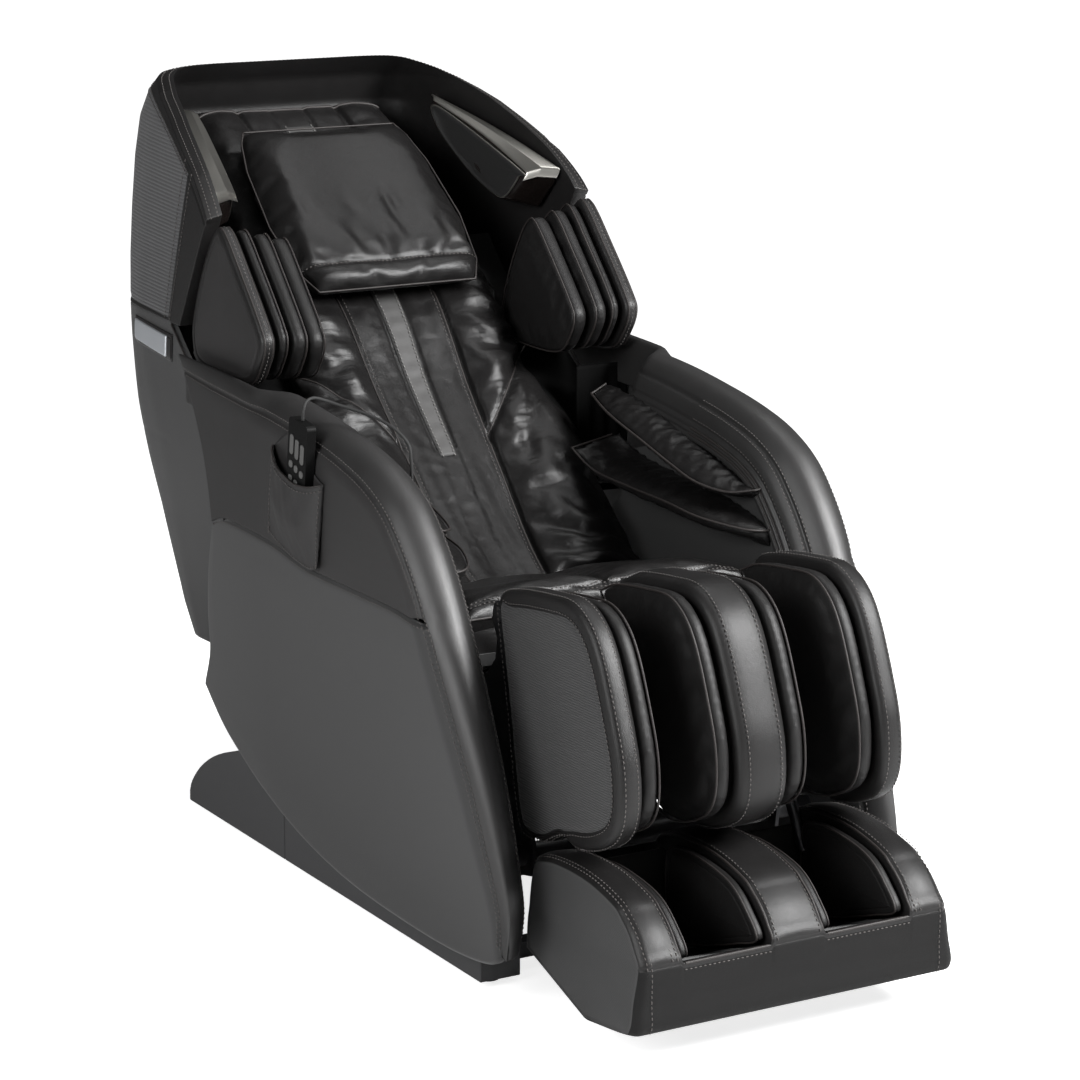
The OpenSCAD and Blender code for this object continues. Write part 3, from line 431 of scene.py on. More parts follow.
class Shop:
    """One material under construction."""

    def __init__(self, name):
        self.material = bpy.data.materials.new(name)
        self.material.use_nodes = True
        self.tree = self.material.node_tree
        self.tree.nodes.clear()
        self.out = self.tree.nodes.new("ShaderNodeOutputMaterial")
        self.bsdf = self.tree.nodes.new("ShaderNodeBsdfPrincipled")
        self.tree.links.new(self.bsdf.outputs[0], self.out.inputs[0])

    def plug(self, socket, value):
        if isinstance(value, Wire):
            self.tree.links.new(value.socket, socket)
        else:
            socket.default_value = value

    def node(self, kind, settings, *values, output=0, **named):
        """Adds a node: its settings first, then values by position or by input name."""
        made = self.tree.nodes.new("ShaderNode" + kind)
        for key, value in settings.items():
            setattr(made, key, value)
        for socket, value in zip([s for s in made.inputs if s.enabled], values):
            self.plug(socket, value)
        for key, value in named.items():
            self.plug(made.inputs[key], value)
        outputs = [s for s in made.outputs if s.enabled]
        return Wire(self, made.outputs[output] if isinstance(output, str) else outputs[output])

    def place(self):
        """Object coordinates, in metres."""
        return self.node("TexCoord", {}, output="Object")

    def axes(self):
        """The three object coordinates."""
        split = self.tree.nodes.new("ShaderNodeSeparateXYZ")
        self.plug(split.inputs[0], self.place())
        return [Wire(self, s) for s in split.outputs]

    def noise(self, scale, detail, place=None):
        return self.node("TexNoise", {}, Vector=place or self.place(), Scale=scale, Detail=detail,
                         Roughness=0.55)

    def shade(self, low, high, amount):
        """A colour between two, by amount."""
        mixer = self.tree.nodes.new("ShaderNodeMix")
        mixer.data_type = "RGBA"
        mixer.inputs["A"].default_value = (*low, 1)
        mixer.inputs["B"].default_value = (*high, 1)
        self.plug(mixer.inputs["Factor"], amount)
        return Wire(self, mixer.outputs["Result"])

    def relief(self, height, depth, **under):
        """A bump of the given depth in millimetres."""
        return self.node("Bump", {}, Height=height, Distance=depth * MM, Strength=1.0, **under)

    def surface(self, color, rough, normal=None, **fixed):
        """The finished material; fixed names further inputs of its shader."""
        if isinstance(color, tuple):
            color = (*color, 1)
        self.plug(self.bsdf.inputs["Base Color"], color)
        self.plug(self.bsdf.inputs["Roughness"], rough)
        if normal:
            self.plug(self.bsdf.inputs["Normal"], normal)
        for key, value in fixed.items():
            self.plug(self.bsdf.inputs[key.replace("_", " ")], value)
        return self.material


def scaled(color, factor, plus=0.0):
    """A darker or paler tone of a colour."""
    return tuple(c * factor + plus for c in color)


def leather(name, color, rough, grain=900.0, depth=0.10, crease=0.0, gleam=0.5):
    """Artificial leather: pebbled grain, fine creases, uneven gloss and paler worn ridges."""
    s = Shop(name)
    drift = s.noise(grain * 0.35, 2.0)
    edges = s.node("TexVoronoi", {"feature": "DISTANCE_TO_EDGE"}, output="Distance", Vector=s.place(),
                   Scale=grain)
    pebble = edges.above(0.0, 0.35)
    fine = s.noise(grain * 2.6, 2.0)
    cloud = s.noise(5.0, 4.0)
    patch = s.noise(38.0, 3.0)
    normal = s.relief(pebble * 0.7 + fine * 0.35 + drift * 0.25, depth)
    if crease:
        ridge = (s.noise(26.0, 3.0) - 0.5).size()
        line = 1 - ridge.above(0.0, 0.05)
        normal = s.relief(1 - line * s.noise(9.0, 1.0), crease, Normal=normal)
    shade = s.shade(scaled(color, 0.72), scaled(color, 1.55, 0.004),
                    cloud * 0.5 + patch * 0.3 + pebble * 0.35 - 0.25)
    gloss = rough - 0.07 + cloud * 0.1 + patch * 0.06 + (1 - pebble) * 0.10
    return s.surface(shade, gloss, normal, Specular_IOR_Level=gleam)


def mesh_cloth(name, color, rough, pitch, depth, ribbed=True):
    """Open-weave fabric over foam: raised ribs, or staggered dots, read from object coordinates."""
    s = Shop(name)
    x, y, z = s.axes()
    turn = 2 * pi / (pitch * MM)
    if ribbed:
        rib = (z * turn).sine() * 0.5 + 0.5
        ticks = ((x + y) * (turn * 1.4)).sine() * 0.5 + 0.5
        height = rib * 0.8 + ticks * rib * 0.25
        open_part = rib.above(0.0, 0.45)
    else:
        height = ((y * turn + x * turn).sine() * (z * turn).sine()) * 0.5 + 0.5
        open_part = height.above(0.1, 0.6)
    fuzz = s.noise(1800.0, 2.0)
    cloud = s.noise(4.0, 3.0)
    shade = s.shade(scaled(color, 0.35), scaled(color, 1.25), open_part * 0.75 + cloud * 0.4 - 0.08)
    return s.surface(shade, rough + cloud * 0.1 - 0.05, s.relief(height + fuzz * 0.25, depth),
                     Sheen_Weight=0.25, Sheen_Roughness=0.5)


def plastic(name, color, rough, texture, coat=0.0):
    """Moulded plastic or paint: fine spark texture, rubbed patches and faint scratches."""
    s = Shop(name)
    spark = s.noise(1400.0, 3.0)
    cloud = s.noise(7.0, 4.0)
    lines = s.node("TexWave", {"wave_type": "BANDS"}, output=1, Scale=60.0, Distortion=18.0, Detail=2.0)
    gloss = rough - 0.05 + cloud * 0.1 + lines.above(0.93, 1.0) * 0.08
    shade = s.shade(scaled(color, 0.85), scaled(color, 1.12, 0.001), cloud * 0.8 + spark * 0.3 - 0.1)
    return s.surface(shade, gloss, s.relief(spark, texture), Coat_Weight=coat)


def metal(name, color, rough, brush, along):
    """Metal brushed along one axis."""
    s = Shop(name)
    joined = s.tree.nodes.new("ShaderNodeCombineXYZ")
    for socket, wire, axis in zip(joined.inputs, s.axes(), "xyz"):
        s.plug(socket, wire * (30.0 if axis == along else 4000.0))
    streak = s.noise(1.0, 2.0, place=Wire(s, joined.outputs[0]))
    cloud = s.noise(11.0, 3.0)
    shade = s.shade(scaled(color, 0.88), color, streak * 0.6 + cloud * 0.5)
    gloss = rough + cloud * 0.05 + streak * brush * 0.15
    return s.surface(shade, gloss, s.relief(streak, 0.01 + brush * 0.02), Metallic=1.0)


def thread(name, color):
    """Twisted sewing thread."""
    s = Shop(name)
    x, y, z = s.axes()
    twist = ((x + y + z) * 5200.0).sine() * 0.5 + 0.5
    shade = s.shade(scaled(color, 0.5), color, twist)
    return s.surface(shade, 0.6 + twist * 0.1, s.relief(twist, 0.05), Sheen_Weight=0.2)


PAD = leather("pad_leather", (0.0085, 0.008, 0.008), 0.24, 850, 0.10, crease=0.12, gleam=0.30)
SIDE = leather("side_leather", (0.021, 0.020, 0.0202), 0.44, 1100, 0.07)
BAND = leather("band_leather", (0.011, 0.0104, 0.0104), 0.33, 850, 0.10, crease=0.05, gleam=0.36)
# a paler, glossier copy of the band leather: its paler colour is a painted highlight along the arm crowns
CROWN_LIT = leather("arm_crown_leather", (0.017, 0.0164, 0.0164), 0.38, 900, 0.09, crease=0.04, gleam=0.72)
TRIM = leather("trim_leather", (0.022, 0.018, 0.017), 0.45, 1300, 0.08)
INNER = leather("inner_leather", (0.010, 0.0095, 0.0095), 0.36, 900, 0.10, crease=0.10, gleam=0.30)
RIBBED = mesh_cloth("ribbed_mesh", (0.046, 0.046, 0.049), 0.6, 5.8, 0.7)
CALF_MESH = mesh_cloth("calf_mesh", (0.027, 0.027, 0.0275), 0.6, 3.6, 0.45)
DOT_MESH = mesh_cloth("dot_mesh", (0.021, 0.021, 0.0215), 0.6, 2.6, 0.22, ribbed=False)
# near-black cloth for the webs: painted shade, darker than the lining so that the gaps they close read as
# shadow
SHADE = leather("web_cloth", (0.0025, 0.0025, 0.0025), 0.8, 1300, 0.05, gleam=0.08)
LINING = mesh_cloth("black_lining", (0.014, 0.014, 0.014), 0.75, 1.6, 0.12, ribbed=False)
BASE = plastic("base_plastic", (0.052, 0.052, 0.054), 0.42, 0.05)
FRAME = plastic("frame_paint", (0.022, 0.022, 0.024), 0.45, 0.08)
GLOSS = plastic("gloss_black", (0.009, 0.008, 0.008), 0.16, 0.004, coat=0.3)
POD_BLACK = plastic("pod_black", (0.010, 0.0075, 0.0068), 0.20, 0.004, coat=0.3)
GRILLE = mesh_cloth("speaker_grille", (0.006, 0.006, 0.006), 0.5, 1.8, 0.10, ribbed=False)
CASE = leather("handset_face", (0.0035, 0.0035, 0.0035), 0.42, 2600, 0.01, gleam=0.10)
# pale grey keys: the tone paints the small glints on the handset's keys
KEYS_GLINT = plastic("key_rubber", (0.095, 0.095, 0.093), 0.45, 0.03)
RUBBER = plastic("rubber", (0.02, 0.02, 0.02), 0.75, 0.1)
NYLON = plastic("roller_nylon", (0.55, 0.53, 0.48), 0.45, 0.04)
RIBBON = leather("ribbon_leather", (0.060, 0.059, 0.058), 0.5, 1100, 0.08, crease=0.08)
CHROME = metal("bright_chrome", (0.66, 0.645, 0.60), 0.25, 0.4, "x")
BADGE = metal("badge_metal", (0.86, 0.89, 0.93), 0.50, 0.3, "y")
STEEL = metal("rod_steel", (0.10, 0.10, 0.105), 0.30, 0.6, "z")
FRONT = leather("front_leather", (0.007, 0.0068, 0.0068), 0.56, 1100, 0.14, gleam=0.22)
THREAD = thread("dark_thread", (0.09, 0.08, 0.075))
PALE_THREAD = thread("grey_thread", (0.30, 0.29, 0.28))

# ------------------------------------------------------------------ stitches and piping


def node_tree(name, inputs, nodes, wires):
    """A Geometry Nodes tree from its inputs, its nodes by short name and its wires, one to a line."""
    tree = bpy.data.node_groups.new(name, "GeometryNodeTree")
    for label, kind in [("Geometry", "Geometry"), *inputs]:
        tree.interface.new_socket(label, in_out="INPUT", socket_type="NodeSocket" + kind)
    tree.interface.new_socket("Geometry", in_out="OUTPUT", socket_type="NodeSocketGeometry")
    made = {"given": tree.nodes.new("NodeGroupInput"), "result": tree.nodes.new("NodeGroupOutput")}
    for key, kind, settings in nodes:
        made[key] = tree.nodes.new(kind)
        for setting, value in settings.items():
            if setting in made[key].inputs:
                made[key].inputs[setting].default_value = value
            else:
                setattr(made[key], setting, value)
    for wire in wires.strip().splitlines():
        (a, output), (b, socket) = (end.strip().split(".") for end in wire.split(">"))
        tree.links.new(made[a].outputs[output], made[b].inputs[socket])
    return tree


STITCHES = node_tree("stitches", [
    ("Pitch", "Float"), ("Length", "Float"), ("Thickness", "Float"), ("Thread", "Material")], [
    ("points", "GeometryNodeCurveToPoints", {"mode": "LENGTH"}),
    ("bead", "GeometryNodeMeshIcoSphere", {"Subdivisions": 1, "Radius": 0.5}),
    ("size", "ShaderNodeCombineXYZ", {}),
    ("turn", "FunctionNodeAlignRotationToVector", {"axis": "Z"}),
    ("place", "GeometryNodeInstanceOnPoints", {}),
    ("real", "GeometryNodeRealizeInstances", {}),
    ("paint", "GeometryNodeSetMaterial", {})], """
    given.Geometry > points.Curve
    given.Pitch > points.Length
    given.Thickness > size.X
    given.Thickness > size.Y
    given.Length > size.Z
    points.Points > place.Points
    points.Tangent > turn.Vector
    bead.Mesh > place.Instance
    turn.Rotation > place.Rotation
    size.Vector > place.Scale
    place.Instances > real.Geometry
    real.Geometry > paint.Geometry
    given.Thread > paint.Material
    paint.Geometry > result.Geometry""")
PIPING = node_tree("piping", [("Radius", "Float"), ("Leather", "Material")], [
    ("ring", "GeometryNodeCurvePrimitiveCircle", {"Resolution": 8}),
    ("sweep", "GeometryNodeCurveToMesh", {"Fill Caps": True}),
    ("even", "GeometryNodeSetShadeSmooth", {}),
    ("real", "GeometryNodeRealizeInstances", {}),
    ("paint", "GeometryNodeSetMaterial", {})], """
    given.Geometry > sweep.Curve
    given.Radius > ring.Radius
    ring.Curve > sweep.Profile Curve
    sweep.Mesh > even.Geometry
    even.Geometry > real.Geometry
    real.Geometry > paint.Geometry
    given.Leather > paint.Material
    paint.Geometry > result.Geometry""")
STITCH_SIZES = {"Pitch": 7.5 * MM, "Length": 5.0 * MM, "Thickness": 1.9 * MM}
seams = {}


def seam(body, kind, *paths, both=True):
    """Notes paths of seam on a body: kind is thread, pale or a piping radius in millimetres."""
    for path in paths:
        path = np.asarray(path, float)
        seams.setdefault((body, kind), []).append(path)
        if both:
            seams[body, kind].append(path * [-1, 1, 1])


def sew():
    """Turns the noted paths into one piece for each body and kind."""
    for (body, kind), paths in seams.items():
        sewn = isinstance(kind, str)
        label = kind if sewn else f"piping_{str(kind).replace('.', '_')}"
        line = bpy.data.curves.new("line", "CURVE")
        line.dimensions = "3D"
        for path in paths:
            looped = np.allclose(path[0], path[-1])
            points = path[:-1] if looped else path
            run = line.splines.new("POLY")
            run.points.add(len(points) - 1)
            run.points.foreach_set("co", np.c_[points * MM, np.ones(len(points))].ravel())
            run.use_cyclic_u = bool(looped)
        drawn = add(f"{body}_{label}", line)
        modifier = drawn.modifiers.new("sewing", "NODES")
        modifier.node_group = STITCHES if sewn else PIPING
        sizes = {**STITCH_SIZES, "Thread": PALE_THREAD if kind == "pale" else THREAD} if sewn \
            else {"Radius": kind * MM, "Leather": TRIM}
        for socket in modifier.node_group.interface.items_tree:
            if socket.name in sizes:
                modifier[socket.identifier] = sizes[socket.name]
        shown = drawn.evaluated_get(bpy.context.evaluated_depsgraph_get())
        mesh = bpy.data.meshes.new_from_object(shown)
        bpy.data.objects.remove(drawn)
        mesh.shade_smooth()
        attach(add(f"{body}_{label}_run", mesh), body)


def follow(surface, u, v, lift=0.4):
    """A path on a surface of u and v, lifted off it a little."""
    u, v = np.broadcast_arrays(np.asarray(u, float), np.asarray(v, float))
    step = 1e-3
    inside = np.array([0, 0, 500])
    p = surface(u, v)
    du = surface(np.minimum(u + step, 1), v) - surface(np.maximum(u - step, 0), v)
    dv = surface(u, np.minimum(v + step, 1)) - surface(u, np.maximum(v - step, 0))
    n = np.cross(du, dv)
    n /= np.maximum(np.linalg.norm(n, axis=-1, keepdims=True), 1e-9)
    outward = np.sign(np.sum(n * (p - inside), -1, keepdims=True))
    return p + n * outward * lift


# ------------------------------------------------------------------ cord

CORD_SIDES = 12


def tube(name, path, radius, finish):
    """A round cord along a path, with closed ends."""
    ahead = unit(np.gradient(path, axis=0))
    across = unit(np.cross(ahead, [0.13, 0.21, 1.0]))
    other = np.cross(ahead, across)
    turn = np.arange(CORD_SIDES) * 2 * pi / CORD_SIDES
    rings = path[:, None] + radius * (np.cos(turn)[None, :, None] * across[:, None]
                                      + np.sin(turn)[None, :, None] * other[:, None])
    return ringed(name, rings, finish)


cord_line = curve(CORD_ROUTE, np.linspace(0, 1, 60))
cord_piece = tube("handset_cord", cord_line, CORD_R, RUBBER)
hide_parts("remote_cord")
tuple(cord_line[6] * MM)
tuple(cord_line[-4] * MM)
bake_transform(cord_piece)
tuple(cord_line[0] * MM)
[tuple(q * MM) for q in cord_line]

# ------------------------------------------------------------------ arms and side panels


def quarter_round(t):
    """Rises from 0 to 1 as a quarter of a circle does, flat at its end."""
    return np.sqrt(1 - (1 - np.clip(t, 0, 1)) ** 2)


def pad_share(y):
    """1 along the padded front of the arm, 0 at its thin rear."""
    return smooth((126 - y) / 50)


def arm_surface(u, drop, sink=0.0):
    """Outer skin of the right arm: drop is below 0 down the inner side, above 0 down the outer side."""
    s, e = curve(ARM_CROWN, u), curve(ARM_SEAM, u)
    n = -left_of(ARM_CROWN, u)
    inner = drop < 0
    d = np.abs(drop)
    depth = np.linalg.norm(e - s, axis=-1)
    bow = np.clip(1 - u / 0.07, 0, 1)
    part = (d / depth)[..., None]
    outer_p = mix(s, e, part)
    outer_p[..., 0] -= 34 * bow * np.sin(pi * np.clip(d / depth, 0, 1))
    p = np.where(inner[..., None], s - n * d[..., None], outer_p)
    share = pad_share(p[..., 0])
    thick = sink * mix(0.22, 1, share)
    p = p - n * (thick * (1 - np.minimum(1, d / 60)))[..., None]
    mid, edge = mix(358, 326, share), mix(345, 269, share)
    side = side_x(p)
    x_out = mix(mid, side, quarter_round(d / 50)) - thick * np.minimum(1, d / 40)
    fall = mix(1, 0.55, share) * quarter_round(d / 32) + share * 0.45 * smooth(d / 80)
    x_in = mix(mid, edge, fall) + thick * 0.7 * np.minimum(1, d / 40)
    return at(np.where(inner, x_in, x_out), p)


ARM_IN = 78
ARM_SEAM_DROP = 25


def arm_drop(u, v):
    """Drop for v from 0, the inner edge, to 1, the lower seam."""
    depth = np.linalg.norm(curve(ARM_SEAM, u) - curve(ARM_CROWN, u), axis=-1)
    w = (v - 0.4) / 0.6
    return np.where(v < 0.4, -ARM_IN * (1 - v / 0.4), depth * np.clip(w, 0, 1) ** 1.4)


def arm_relief(drop, u):
    """Grooves at the seams, between rolls of padding."""
    share = pad_share(curve(ARM_CROWN, u)[..., 0])
    groove = 2.6 * bump(drop, ARM_SEAM_DROP, 3.0)
    groove = groove + share * (2.6 * bump(drop, -24, 3) + 2.2 * bump(drop, -52, 2.5)
                               + 1.6 * bump(drop, -62, 2) + 1.6 * bump(drop, -70, 2))
    puff = 1.6 * share * bump(drop, -38, 9) + 1.2 * bump(drop, 4, 14)
    return puff - groove


def raised_arm(u, drop, lift=0.0):
    """The arm's skin with its relief, and lifted off it for a seam."""
    drop = np.broadcast_to(np.asarray(drop, float), np.shape(u))
    along = arm_surface(np.minimum(1, u + 0.004), drop) - arm_surface(np.maximum(0, u - 0.004), drop)
    across = arm_surface(u, drop + 1) - arm_surface(u, drop - 1)
    n = unit(np.cross(along, across))
    out = np.sign(n[..., 0] * np.where(drop < 0, -1, 1) + n[..., 2] * 0.5)[..., None]
    return arm_surface(u, drop) + n * out * (arm_relief(drop, u)[..., None] + lift)


def arms():
    """The upholstered arms, with their crowns and double seams."""
    # the crowns take the paler crown leather, whose tone is a painted highlight
    right = wall("arm_cover_right", lambda u, v: raised_arm(u, arm_drop(u, v)),
                 lambda u, v: arm_surface(u, arm_drop(u, v), ARM_T), 240, 130, [CROWN_LIT, SIDE],
                 kind=lambda u, v: (arm_drop(u, v) > ARM_SEAM_DROP) & (u < 0.72))
    pair(right, "seat", "arm_casing_{}")
    whole, front = np.linspace(0.01, 0.99, 260), np.linspace(0.22, 0.97, 220)
    for u, drop in ((whole, ARM_SEAM_DROP - 4.5), (whole, ARM_SEAM_DROP + 4.5), (front, -28.5),
                    (front, -19.5), (front, -48)):
        seam("seat", "thread", raised_arm(u, drop, 0.3))
    seam("seat", 2.2, raised_arm(front, -62, 0.2), raised_arm(front, -70, 0.2))


def patch(b, t, r, f, u, v):
    """A surface between four edges, b from t and r from f."""
    corner = lambda pts, k: curve(pts, np.array(float(k)))
    along, up = curve(b, u), curve(r, v)
    top, front = curve(t, u), curve(f, v)
    u, v = u[..., None], v[..., None]
    return ((1 - v) * along + v * top + (1 - u) * up + u * front
            - (1 - u) * (1 - v) * corner(b, 0) - u * (1 - v) * corner(b, 1)
            - (1 - u) * v * corner(t, 0) - u * v * corner(t, 1))


def panel_surface(u, v, sink=0.0):
    """Outer skin of the lower side panel, from its rear to its front and from its foot up."""
    p = patch(PANEL_BOTTOM, PANEL_TOP, PANEL_REAR, PANEL_FRONT, u, v)
    d = np.clip((u - 0.92) / 0.08, 0, 1)
    thick = sink * mix(0.45, 1, np.clip(u / 0.2, 0, 1))
    rim = np.minimum(np.minimum(u * 1000, (1 - v) * 480), np.minimum((1 - u) * 1000, v * 480))
    roll = 5 * np.clip(1 - rim / 12, 0, 1) ** 2
    puff = 2.5 * np.clip(rim / 60, 0, 1)
    x = side_x(p) - thick - 16 * d * d - np.where(sink > 0, 0, roll - puff * 0.4)
    return at(x, p)


def side_panels():
    """The lower side panels, whose edges roll in."""
    cuts = lambda n, gap: np.concatenate([[0, gap, gap * 2.5], np.linspace(gap * 4, 1 - gap * 4, n),
                                          [1 - gap * 2.5, 1 - gap, 1]])
    right = wall("side_panel_right", panel_surface, ARM_T, 0, 0, DOT_MESH,
                 u=cuts(150, 0.0035), v=cuts(90, 0.007))
    pair(right, "seat", "lower_panel_{}")
    t = np.linspace(0.02, 0.995, 260)
    seam("seat", "thread", follow(panel_surface, t, 0.985), follow(panel_surface, 0.991, t))
    seam("seat", 1.8, follow(panel_surface, 0.001, t, 0.5))


# ------------------------------------------------------------------ slabs and fins


def inset_loop(outline, distance):
    """The outline moved inwards, in small smoothed steps so that its corners don't cross."""
    steps = max(1, int(np.ceil(np.max(np.abs(distance)) / 3)))
    share = np.broadcast_to(distance, len(outline))[:, None] / steps
    for _ in range(steps):
        ahead, behind = np.roll(outline, -1, 0), np.roll(outline, 1, 0)
        d = unit(ahead - behind)
        n = np.stack([-d[:, 1], d[:, 0]], -1)
        area = np.sum(outline[:, 0] * ahead[:, 1] - ahead[:, 0] * outline[:, 1])
        outline = outline + n * np.sign(area) * share
        if steps > 2:
            outline = 0.5 * outline + 0.25 * (np.roll(outline, 1, 0) + np.roll(outline, -1, 0))
    return outline


def slab_profile(half, edge, steps=7):
    """Rings from one face, round the edge, to the other: [inset, offset from the middle]."""
    turn = np.linspace(-pi / 2, pi / 2, 2 * steps + 1)
    power = 0.75
    x = np.sign(np.sin(turn)) * np.abs(np.sin(turn)) ** power * half
    return [(edge * (1 - np.cos(a) ** power), float(b)) for a, b in zip(turn, x)]


def slab(name, outline, x0, x1, edge, border, swell, finishes, heart=None, groove=1.6):
    """A padded slab in the side plane with rounded edges, borders and swollen faces.
    finishes are those of the band, of the face at x0 and of the face at x1."""
    heart = outline.mean(0) if heart is None else np.asarray(heart, float)
    base, border_loop = inset_loop(outline, edge), inset_loop(outline, border)
    rings = [(inset_loop(outline, inset), (x0 + x1) / 2 + x)
             for inset, x in slab_profile((x1 - x0) / 2, edge)]
    rim = [(mix(base, border_loop, k), 0.15 * swell * k - groove * (k > 0.9)) for k in (0.25, 0.5, 0.75, 1)]
    face = [(mix(border_loop, heart, k), swell * (1 - (1 - k) ** 2.5) + 0.15 * swell)
            for k in (0.03, 0.08, 0.2, 0.4, 0.6, 0.8, 0.93, 0.99)]
    side = rim + face
    stack = [(l, x0 - s) for l, s in reversed(side)] + rings + [(l, x1 + s) for l, s in side]
    kinds = [1] * len(face) + [0] * (len(rings) - 1 + 2 * len(rim)) + [2] * len(face)
    return ringed(name, [at(x, l) for l, x in stack], finishes, None,
                  [*np.repeat(kinds, len(outline)), 1, 2])


def slab_seam(outline, x, inset, lift=0.3):
    """A closed path round a slab, at a distance in from its outline."""
    path = inset_loop(outline, inset - lift)
    path = at(x, path)
    return np.concatenate([path, path[:1]])


CALF_LOOP = np.concatenate([curve(CALF_LINE, np.linspace(0, 1, 110)),
                            [leg_point(a, 30) for a in np.linspace(290, 20, 34)]])
CALF_HEART = leg_point(160, 130)
OUTER_LOOP = loop(CALF_LINE[:-1] + CALF_REAR[:-1], 170)
OUTER_BORDER = mix(7, 26, smooth(((OUTER_LOOP - LEG_PIVOT) @ [-cos(LEG_LEAN), sin(LEG_LEAN)] - 25) / 40))


def calf_slabs():
    """The padded uprights of the leg rest: two outer ones and one in the middle."""
    right = slab("calf_slab_cover_right", OUTER_LOOP, 196, LEG_HALF - 2.5, 13, OUTER_BORDER, 2.0,
                 [BAND, PAD, CALF_MESH], heart=CALF_HEART)
    pair(right, "leg_rest", "calf_slab_{}")
    middle = slab("calf_slab_cover_middle", CALF_LOOP, 1.5 - MID_SLAB, MID_SLAB - 1.5, 16, 24, 0.8,
                  [BAND, PAD, PAD], heart=CALF_HEART)
    settle(middle, "leg_rest", "calf_slab_middle")
    for x, inset, lift in ((206, 0.9, 0.3), (226, 0.9, 0.3), (LEG_HALF - 1.5, OUTER_BORDER - 5, 0)):
        seam("leg_rest", "thread", slab_seam(OUTER_LOOP, x, inset, lift))
    seam("leg_rest", "thread", slab_seam(CALF_LOOP, -26, 0.9))


def fin(name, outline, x0, x1, edge, border, swell, heart, voxel, cap, held):
    """A soft fin, blown up with its rim held over the given width."""
    piece = slab(name, outline, x0, x1, edge, border, swell, [INNER] * 3, heart=heart)

    return inflated(piece, voxel, 3.0, cap, 0.02,
                    lambda p: np.where(reach(p[:, 1:], outline[::2]) < held, 1.0, 0.0))


def calf_fins():
    """Airbags on the inner faces of the leg rest's uprights."""
    outline = CALF_HEART + (CALF_LOOP - CALF_HEART) * 0.925
    for label, x0, x1, seam_x in (("outer", 165, 190, 165), ("inner", MID_SLAB + 6, MID_SLAB + 31,
                                                             MID_SLAB + 31)):
        right = fin(f"calf_airbag_{label}_right", outline, x0, x1, 11, 16, 2.5, CALF_HEART, 6.0, 6, 15)
        pair(right, "leg_rest")
        if label == "outer":
            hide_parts("calf_airbags")
        seam("leg_rest", 1.7, slab_seam(outline, seam_x, 2.0, 0.5))


FIN_HEART = np.array([282, 882])


def shoulder_wings():
    """The wings beside the shoulders, with three airbags inside each."""
    outline = loop(WING_LINE, 120)
    right = slab("shoulder_wing_cover_right", outline, 309, 334, 9, 13, 2.2, [BAND, PAD, SIDE],
                 heart=(280, 870))
    pair(right, "back", "shoulder_wing_{}")
    for x in (315, 328):
        seam("back", 1.6, slab_seam(outline, x, 1.2, 0))
    seam("back", "thread", slab_seam(outline, 321.5, 0.4))
    for k, (x, width, shift) in enumerate(((304.6, 22, (0, 0)), (281, 30, (-6, -4)), (250, 34, (0, -10)))):
        shape = FIN_HEART + (outline - FIN_HEART) * (0.955 - 0.03 * k) + shift
        right = fin(f"shoulder_fin_{k + 1}_right", shape, x - width + 3, x - 3, 10, 14, 2.0, FIN_HEART,
                    5.0, 5, 12)
        pair(right, "back", "shoulder_airbags_{}" if k == 0 else None)
        seam("back", 1.5, slab_seam(shape, x - width + 5, 1.5, 0.5))


UP = np.array([0, 0, 1])
BAG_ROOT_X = 274.5


def arm_airbag(label, edge, root, root_t, edge_t, gathers):
    """A soft shelf that closes on the forearm, with a gathered top and a piped edge over the seat."""
    def top(u, v, lift=4.0):
        outer = curve(root, u)
        outer = np.concatenate([np.full(outer.shape[:-1] + (1,), BAG_ROOT_X), outer], -1)
        p = mix(outer, curve(edge, u), v[..., None])
        return p + UP * (lift * np.sin(pi * v) * np.sin(pi * u))[..., None]

    def under(u, v):
        thick = mix(root_t, edge_t, v) * mix(0.45, 1, np.sin(pi * u) ** 0.5)
        return top(u, v) - UP * thick[..., None]
    right = wall(f"arm_airbag_{label}_cover_right", top, under, 90, 14, PAD)
    end = np.linspace(0, 1, 12)
    ring = np.concatenate([top(np.linspace(0, 1, 60), np.ones(60)), top(0 * end, end), top(0 * end + 1, end)])

    inflated(right, 4.5, 3.0, 7, 0.01,
             lambda p: np.where((reach(p, ring) < 5) | (p[:, 0] > 268), 1.0, 0.0), calm=5)

    def gather(p, n):
        along = (140 - p[:, 1]) / 430
        inward = np.clip((274 - p[:, 0]) / 50, 0, 1)
        fold = np.sin(p[:, 1] * 0.23 + p[:, 0] * 0.09 + wander(along * 4, p[:, 0] / 60, seed=3) * 4)
        fold = fold * np.sin(pi * np.clip(inward * 0.9 + 0.05, 0, 1)) * np.clip(n[:, 2] * 2, 0, 1)
        slack = wander(p[:, 1] / 200, p[:, 0] / 90, seed=7) * 0.8
        return p + n * (gathers * (fold - 0.4) + slack * gathers)[:, None]
    sculpted(right, gather)
    pair(right, "seat", f"arm_airbag_{label}_{{}}")
    rim = top(np.linspace(0, 1, 90), np.ones(90)) - [2, 0, 1]
    rear = top(np.zeros(16), np.linspace(0.15, 1, 16)) + [0, 1, -1]
    tip = top(np.ones(16), np.linspace(1, 0.15, 16)) + [0, -1, -1]
    seam("seat", 1.9, np.concatenate([rear[:-1], rim, tip[1:]]))


def arm_airbags():
    """Two airbags inside each arm."""
    arm_airbag("upper", UPPER_BAG_EDGE, UPPER_BAG_ROOT, 26, 10, 0.5)
    arm_airbag("lower", LOWER_BAG_EDGE, LOWER_BAG_ROOT, 46, 14, 0.25)


# ------------------------------------------------------------------ hood and back shell

